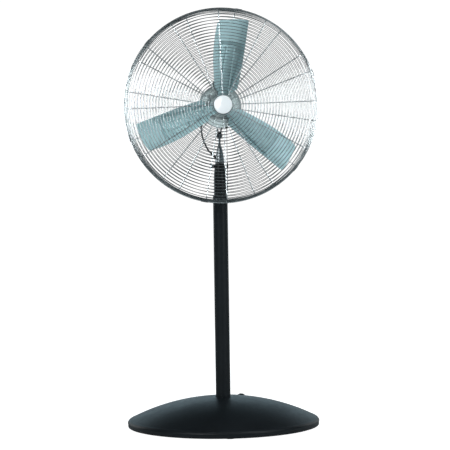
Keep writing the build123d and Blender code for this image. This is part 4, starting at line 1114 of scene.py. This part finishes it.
# mounting ring and screws
V, F = lathe(soften([(48, -82.35), (95, -82.35), (95, -80), (48, -80)], 0.6), "Y", at=(0, 0, HUB_Z), segs=128)
make("guard_mount_ring", V, F, "guard_wire", "head", ("rear_mount_ring",))
g = Geo()
for k in range(4):
    x, y, z = around(66, 0, 45 + 90 * k)
    g.add(*lathe(soften([(0, -84.6), (1.8, -84.6), (2.4, -85.55), (4.6, -85.2), (5.5, -84.0), (5.5, -82.35), (0, -82.35)], 0.4), "Y", at=(x, 0, z), segs=36))
make("guard_mount_screws", g.V, g.F, "zinc_hardware", "head", ("guard_screws",))

# centre plate and badge
prof = soften([(0, -260.6), (43.5, -260.6), (43.5, -258.9), (0, -258.9)], 0.5)
V, F = lathe(prof, "Y", at=(0, 0, HUB_Z), segs=96)
make("guard_hub_plate", V, F, "guard_wire", "head", ("guard_centre_plate",))
arc = arc3((40.5, -264.5), (38.5, -267.6), (34.5, -268.6), 8)
prof = [(0, -260.6), (40.0, -260.6), (40.5, -261.1)] + arc + [(27, -269.05), (18, -269.4), (9, -269.55), (0, -269.6)]
V, F = lathe(prof, "Y", at=(0, 0, HUB_Z), segs=128)
make("hub_badge", V, F, "badge_white", "head", ("badge",), angle=40)


# ================================================================== PROPELLER
def surf(x, yt, rad):
    """Point on the cambered sheet at span x and sideways offset yt, on the arc of radius rad."""
    f = (x - R_A) / (R_B - R_A)
    st = ((radians(PITCH_A), asin(HALF_A / CAMBER)), (radians(PITCH_B), asin(HALF_B / CAMBER)))

    def pos(fr):
        o = []
        for p, ang in st:
            a = fr * ang
            sx, sy = rad * sin(a), CAMBER - rad * cos(a)
            o.append((sx * cos(p) + sy * sin(p), sx * sin(p) - sy * cos(p)))
        return (o[0][0] * (1 - f) + o[1][0] * f, o[0][1] * (1 - f) + o[1][1] * f)
    lo, hi = -1.4, 1.4
    for _ in range(34):
        mid = (lo + hi) / 2
        if pos(mid)[0] < yt:
            lo = mid
        else:
            hi = mid
    t_, y_ = pos((lo + hi) / 2)
    return (x, y_, t_)


LEAD = [(62, -44), (78, -54), (130, -57.8), (190, -61), (282, -61.8), (382, -62)]
TRAIL = [(62, 38), (105, 47), (145, 55), (190, 63), (220, 67), (250, 69.8), (280, 71.2), (310, 71.5), (340, 70), (368, 67)]


def along(tab, x):
    if x <= tab[0][0]:
        return tab[0][1]
    for (x0, y0), (x1, y1) in zip(tab, tab[1:]):
        if x <= x1:
            return y0 + (y1 - y0) * (x - x0) / (x1 - x0)
    (x0, y0), (x1, y1) = tab[-2:]
    return y1 + (y1 - y0) * (x - x1) / (x1 - x0)


def lower(x):
    return along(LEAD, x)


def upper(x):
    return along(TRAIL, x)


# the tip edge is the arc through three points of the outline
_a, _b, _c = (382.0, -62.0), (382.2, 4.0), (368.0, 67.0)
_d = 2 * (_a[0] * (_b[1] - _c[1]) + _b[0] * (_c[1] - _a[1]) + _c[0] * (_a[1] - _b[1]))
TIP_X = ((_a[0] ** 2 + _a[1] ** 2) * (_b[1] - _c[1]) + (_b[0] ** 2 + _b[1] ** 2) * (_c[1] - _a[1]) + (_c[0] ** 2 + _c[1] ** 2) * (_a[1] - _b[1])) / _d
TIP_Y = ((_a[0] ** 2 + _a[1] ** 2) * (_c[0] - _b[0]) + (_b[0] ** 2 + _b[1] ** 2) * (_a[0] - _c[0]) + (_c[0] ** 2 + _c[1] ** 2) * (_b[0] - _a[0])) / _d
TIP_R = hypot(_a[0] - TIP_X, _a[1] - TIP_Y)


def tip_x(yt):
    return TIP_X + sqrt(max(0.0, TIP_R ** 2 - (yt - TIP_Y) ** 2))


CORNER = 7.0


def sheet_grid(rad, inset_, nu=56):
    """Grid over the blade's outline, moved in by inset_, on the arc of radius rad."""
    offs = [0, 0.25, 0.8, 1.7, 3.0, 4.8, 7.0, 9.5, 13, 18]
    rows = []
    vs = offs + [None] * 16 + [-o for o in reversed(offs)]
    for i, o in enumerate(vs):
        line = []
        for j in range(nu + 1):
            u = j / nu
            u = 1 - (1 - u) ** 1.25
            # first guess of the span, then the sideways place at that span
            x = 62 + u * (376 - 62)
            for _ in range(3):
                lo, hi = lower(x) + inset_, upper(x) - inset_
                if o is None:
                    k = i - len(offs) + 1
                    a, b = lo + offs[-1], hi - offs[-1]
                    yt = a + (b - a) * k / 17
                    de = 99
                elif i < len(offs):
                    yt, de = lo + o, o
                else:
                    yt, de = hi + o, -o
                x1 = tip_x(yt) - inset_
                if de < CORNER:
                    x1 -= CORNER - sqrt(CORNER ** 2 - (CORNER - de) ** 2)
                x0 = 62 + inset_ + max(0.0, 16 - de * 16 / 10.0)
                x = x0 + u * (x1 - x0)
            line.append(surf(x, yt, rad))
        rows.append(line)
    return rows


def shell_from(rows_list):
    """Closed shell: first grid, edge strips through the middle outlines, last grid."""
    V, F = [], []

    def outline(rows):
        n, m = len(rows), len(rows[0])
        o = [(i, 0) for i in range(n)] + [(n - 1, j) for j in range(1, m)] + [(i, m - 1) for i in range(n - 2, -1, -1)] + [(0, j) for j in range(m - 2, 0, -1)]
        return o
    n, m = len(rows_list[0]), len(rows_list[0][0])
    ids = []
    for q_, rows in enumerate(rows_list):
        idx = {}
        if q_ in (0, len(rows_list) - 1):
            for i in range(n):
                for j in range(m):
                    idx[i, j] = len(V)
                    V.append(rows[i][j])
            for i in range(n - 1):
                for j in range(m - 1):
                    F.append((idx[i, j], idx[i, j + 1], idx[i + 1, j + 1], idx[i + 1, j]))
        else:
            for i, j in outline(rows):
                idx[i, j] = len(V)
                V.append(rows[i][j])
        ids.append(idx)
    o = outline(rows_list[0])
    for A, B in zip(ids, ids[1:]):
        for s in range(len(o)):
            e = (s + 1) % len(o)
            F.append((A[o[s]], A[o[e]], B[o[e]], B[o[s]]))
    return V, F


def blade_matrix(beta):
    b = radians(beta)
    return Matrix.Translation(Vector((0, PROP_Y, HUB_Z)) * MM) @ Matrix(((cos(b), 0, -sin(b), 0), (0, 1, 0, 0), (sin(b), 0, cos(b), 0), (0, 0, 0, 1)))


bV, bF = shell_from([sheet_grid(CAMBER, 0.5), sheet_grid(CAMBER - 0.45, 0.0), sheet_grid(CAMBER - 1.55, 0.0), sheet_grid(CAMBER - BLADE_T, 0.5)])

ARM = [(26, 22.0), (60, 24.0), (110, 30.0), (160, 36.5), (215, 43.5), (262, 49.0), (274, 49.0), (280, 43.0)]


def arm_half(x):
    for (x0, w0), (x1, w1) in zip(ARM, ARM[1:]):
        if x <= x1:
            return w0 + (w1 - w0) * max(0.0, x - x0) / (x1 - x0)
    return ARM[-1][1]


def arm_grid(rad, inset_, relief=0.0, nu=70, nv=54):
    rows = []
    for i in range(nv + 1):
        v = -1 + 2 * i / nv
        line = []
        for j in range(nu + 1):
            u = j / nu
            x = 26 + (280 - inset_ - 26) * (1 - (1 - u) ** 1.3)
            w = (arm_half(x) - inset_) * v
            lift = 0.0
            if relief:
                on = max(0.0, min(1.0, (x - 58) / 10.0)) * max(0.0, min(1.0, (264 - x) / 8.0))
                lift += 1.5 * on * (exp(-((w - 16.5) / 2.3) ** 2) + exp(-((w + 16.5) / 2.3) ** 2))
                edge = arm_half(x) - abs(w)
                lift += 0.9 * exp(-(edge / 2.2) ** 2) * min(1.0, max(0.0, (x - 50) / 20))
                tail = max(0.0, (x - 268.0) / 12.0)
                lift += 3.2 * tail * tail
            # lift goes along the sheet's normal, which is along the radius of its arc
            line.append(surf(x, w, rad - lift * relief))
        rows.append(line)
    return rows


aV, aF = shell_from([arm_grid(CAMBER - BLADE_T - 0.02, 0.4), arm_grid(CAMBER - BLADE_T - 0.5, 0.0, 0.6), arm_grid(CAMBER - BLADE_T - ARM_T + 0.45, 0.0, 1.0), arm_grid(CAMBER - BLADE_T - ARM_T, 0.4, 1.0)])

RIVETS = ((92, -13), (92, 13), (160, -24), (160, 24), (240, -33), (240, 33))
for k in range(3):
    beta = BLADE_PHASE + 120 * k
    mx = blade_matrix(beta)
    make(f"blade_{k + 1}", bV, bF, "blade_aluminium", "rotor", ("propeller_blades",), angle=40, matrix=mx)
    make(f"blade_arm_{k + 1}", aV, aF, "spider_steel", "rotor", ("propeller_spider",), angle=50, matrix=mx)
    rg = Geo()
    for r, w_ in RIVETS:
        f = (r - R_A) / (R_B - R_A)
        p = radians(PITCH_A + (PITCH_B - PITCH_A) * f)
        d = Vector((0, sin(p), cos(p)))
        n_ = Vector((0, -cos(p), sin(p)))
        o = Vector((r, 0, 0)) + d * w_ + n_ * (w_ * w_ / (2 * CAMBER))
        tilt = w_ / CAMBER
        nn = (n_ * cos(tilt) - d * sin(tilt)).normalized()
        qq = Vector((0, 0, 1)).rotation_difference(nn)
        for lo_, sgn, rr, hh in ((BLADE_T + ARM_T, 1, 5.0, 2.4), (0.0, -1, 4.5, 1.9)):
            pr = [(0, hh)] + [(rr * sin(radians(a)), hh * cos(radians(a))) for a in (15, 30, 45, 60, 75)] + [(rr, 0.0), (rr * 0.9, -0.6), (0, -0.6)]
            lv, lf = lathe(pr, segs=28)
            for vtx in lv:
                pv = Vector((vtx[0], vtx[1], vtx[2] * sgn + lo_))
                rg.V.append(tuple(o + qq @ pv))
            base_i = len(rg.V) - len(lv)
            rg.F += [tuple(i + base_i for i in ff) for ff in lf]
    make(f"blade_rivets_{k + 1}", rg.V, rg.F, "spider_steel", "rotor", ("blade_rivets",), angle=50, matrix=mx)

prof = soften([(7.95, -203), (22, -203), (24, -201.5), (28.5, -201.5), (30, -200), (30, -146), (28.5, -143), (7.95, -143)], 1.0)
V, F = lathe(prof, "Y", at=(0, 0, HUB_Z), segs=96)
make("propeller_boss", V, F, "spider_steel", "rotor", ("propeller_hub",))
prof = soften([(0, -212), (6.9, -212), (7.93, -211), (7.93, 86), (0, 86)], 0.3)
V, F = lathe(prof, "Y", at=(0, 0, HUB_Z), segs=56)
make("drive_shaft", V, F, "bright_steel", "rotor", ("motor_shaft",))

# ================================================================== CARRIED-OVER CAD NODES
for node, s in NODE_SLOT.items():
    ob = NODES[node]
    if not ob.material_slots:
        ob.data.materials.append(M[s])
    for ms in ob.material_slots:
        ms.material = M[s]

# ================================================================== FLOOR, LIGHT
m, nt, b = new_mat("studio_floor")
v = coords(nt)
n1 = noise(nt, v, 0.7, 4.0, 0.5)
nt.links.new(ramp(nt, n1, [(0.3, (0.64, 0.66, 0.67)), (0.7, (0.68, 0.70, 0.71))]), b.inputs["Base Color"])
nt.links.new(remap(nt, noise(nt, v, 6.0), 0.72, 0.85), b.inputs["Roughness"])
setv(b, spec=0.1)
glow = nt.nodes.new("ShaderNodeEmission")
lpf = nt.nodes.new("ShaderNodeLightPath")
nt.links.new(mul(nt, lpf.outputs["Is Camera Ray"], 0.97), glow.inputs["Strength"])
add = nt.nodes.new("ShaderNodeAddShader")
outf = [n for n in nt.nodes if n.type == "OUTPUT_MATERIAL"][0]
nt.links.new(b.outputs["BSDF"], add.inputs[0])
nt.links.new(glow.outputs[0], add.inputs[1])
nt.links.new(add.outputs[0], outf.inputs["Surface"])
me = bpy.data.meshes.new("floor")
N = 96
me.from_pydata([(0, 0, 0)] + [(40 * cos(2 * pi * i / N), 40 * sin(2 * pi * i / N), 0) for i in range(N)], [], [(0, 1 + i, 1 + (i + 1) % N) for i in range(N)])
floor = bpy.data.objects.new("floor", me)
floor.location.z = -0.0002
floor.data.materials.append(m)
bpy.context.scene.collection.objects.link(floor)

HORIZON = 0.55
world = bpy.data.worlds.new("studio")
bpy.context.scene.world = world
world.use_nodes = True
nt = world.node_tree
nt.nodes.clear()
wo = nt.nodes.new("ShaderNodeOutputWorld")
lp = nt.nodes.new("ShaderNodeLightPath")
mixs = nt.nodes.new("ShaderNodeMixShader")
amb = nt.nodes.new("ShaderNodeBackground")
back = nt.nodes.new("ShaderNodeBackground")
# a bright cyclorama at the level of the horizon under a dark ceiling
amb.inputs["Color"].default_value = (0.80, 0.95, 1.0, 1)
wt = nt.nodes.new("ShaderNodeTexCoord")
ws = nt.nodes.new("ShaderNodeSeparateXYZ")
nt.links.new(wt.outputs["Generated"], ws.inputs[0])
wr = nt.nodes.new("ShaderNodeValToRGB")
for p_, v_ in ((0.0, HORIZON), (0.16, HORIZON * 0.75), (0.42, 0.05), (1.0, 0.03)):
    e_ = wr.color_ramp.elements.new(p_) if p_ not in (0.0, 1.0) else wr.color_ramp.elements[0 if p_ == 0.0 else -1]
    e_.color = (v_, v_, v_, 1)
nt.links.new(ws.outputs["Z"], wr.inputs[0])
nt.links.new(wr.outputs[0], amb.inputs["Strength"])
back.inputs["Color"].default_value = (1, 1, 1, 1)
back.inputs["Strength"].default_value = 1.05
nt.links.new(lp.outputs["Is Camera Ray"], mixs.inputs["Fac"])
nt.links.new(amb.outputs[0], mixs.inputs[1])
nt.links.new(back.outputs[0], mixs.inputs[2])
nt.links.new(mixs.outputs[0], wo.inputs["Surface"])


def area(name, loc, target, w, h, power, col=(1, 1, 1)):
    ld = bpy.data.lights.new(name, "AREA")
    ld.shape = "RECTANGLE"
    ld.size, ld.size_y = w, h
    ld.energy = power
    ld.color = col
    ob = bpy.data.objects.new(name, ld)
    bpy.context.scene.collection.objects.link(ob)
    ob.location = loc
    ob.rotation_euler = (Vector(target) - Vector(loc)).to_track_quat("-Z", "Y").to_euler()
    ob.visible_camera = False
    return ob


area("key", (-2.6, -3.8, 3.0), (0, 0, 1.2), 1.8, 1.8, 72, (0.95, 0.99, 1.0))
area("fill", (3.0, -3.2, 1.9), (0, 0, 1.2), 1.6, 2.0, 30, (0.93, 0.98, 1.0))
area("over_right", (2.2, -1.75, 4.1), (0, 0, 1.3), 1.8, 1.8, 36, (0.93, 0.98, 1.0))
area("top", (0.2, 0.3, 4.2), (0, 0, 0.6), 2.0, 2.0, 10, (0.95, 0.99, 1.0))
area("back_left", (-2.6, 3.0, 1.6), (0, 0, 1.0), 1.2, 2.0, 10)
area("back_right", (2.8, 2.8, 1.6), (0, 0, 1.0), 1.2, 2.0, 10)
area("back_low", (0.0, 4.6, 1.55), (0, 0, 0.1), 5.0, 1.4, 21, (0.60, 0.86, 1.0))


def only_on(light, *starts):
    """The light falls only on the pieces whose names start so, as a small flag and snoot would keep it."""
    c = bpy.data.collections.new(light.name + "_on")
    for o in list(bpy.context.scene.objects):
        if o.type == "MESH" and o.name.startswith(starts):
            c.objects.link(o)
    light.light_linking.receiver_collection = c


for n_, x_, p_ in (("guard_left", -1.6, 100), ("guard_right", 1.6, 80)):
    ob_ = area(n_, (x_, -0.35, 1.47), (x_ * 0.2, -0.15, 1.45), 0.5, 1.3, p_)
    only_on(ob_, "guard_rim", "guard_ring", "guard_front", "guard_rear", "guard_side", "guard_rib", "guard_clip")
only_on(area("blade_low", (0.45, -0.95, 0.15), (-0.2, -0.17, 1.35), 0.9, 0.9, 9, (0.90, 1.0, 1.0)), "blade_")
only_on(area("badge_front", (-0.4, -3.0, 1.9), (0, -0.26, 1.435), 1.0, 1.0, 26), "hub_badge")
only_on(area("motor_front", (0.1, -2.4, 1.25), (0, -0.1, 1.42), 0.8, 0.8, 14, (0.88, 1.0, 0.98)), "motor_bell", "motor_can", "guard_mount_ring")
only_on(area("rim_low", (0.0, -1.5, 0.35), (0, -0.17, 1.0), 1.8, 0.7, 14, (0.92, 0.98, 1.0)), "guard_front_rim", "guard_rear_rim")
sun_d = bpy.data.lights.new("sky_sun", "SUN")
sun_d.energy = 0.12
sun_d.angle = radians(70)
sun = bpy.data.objects.new("sky_sun", sun_d)
bpy.context.scene.collection.objects.link(sun)
sun.rotation_euler = (radians(22), radians(-18), 0)
bpy.context.scene.view_settings.view_transform = "Standard"
bpy.context.scene.view_settings.look = "None"
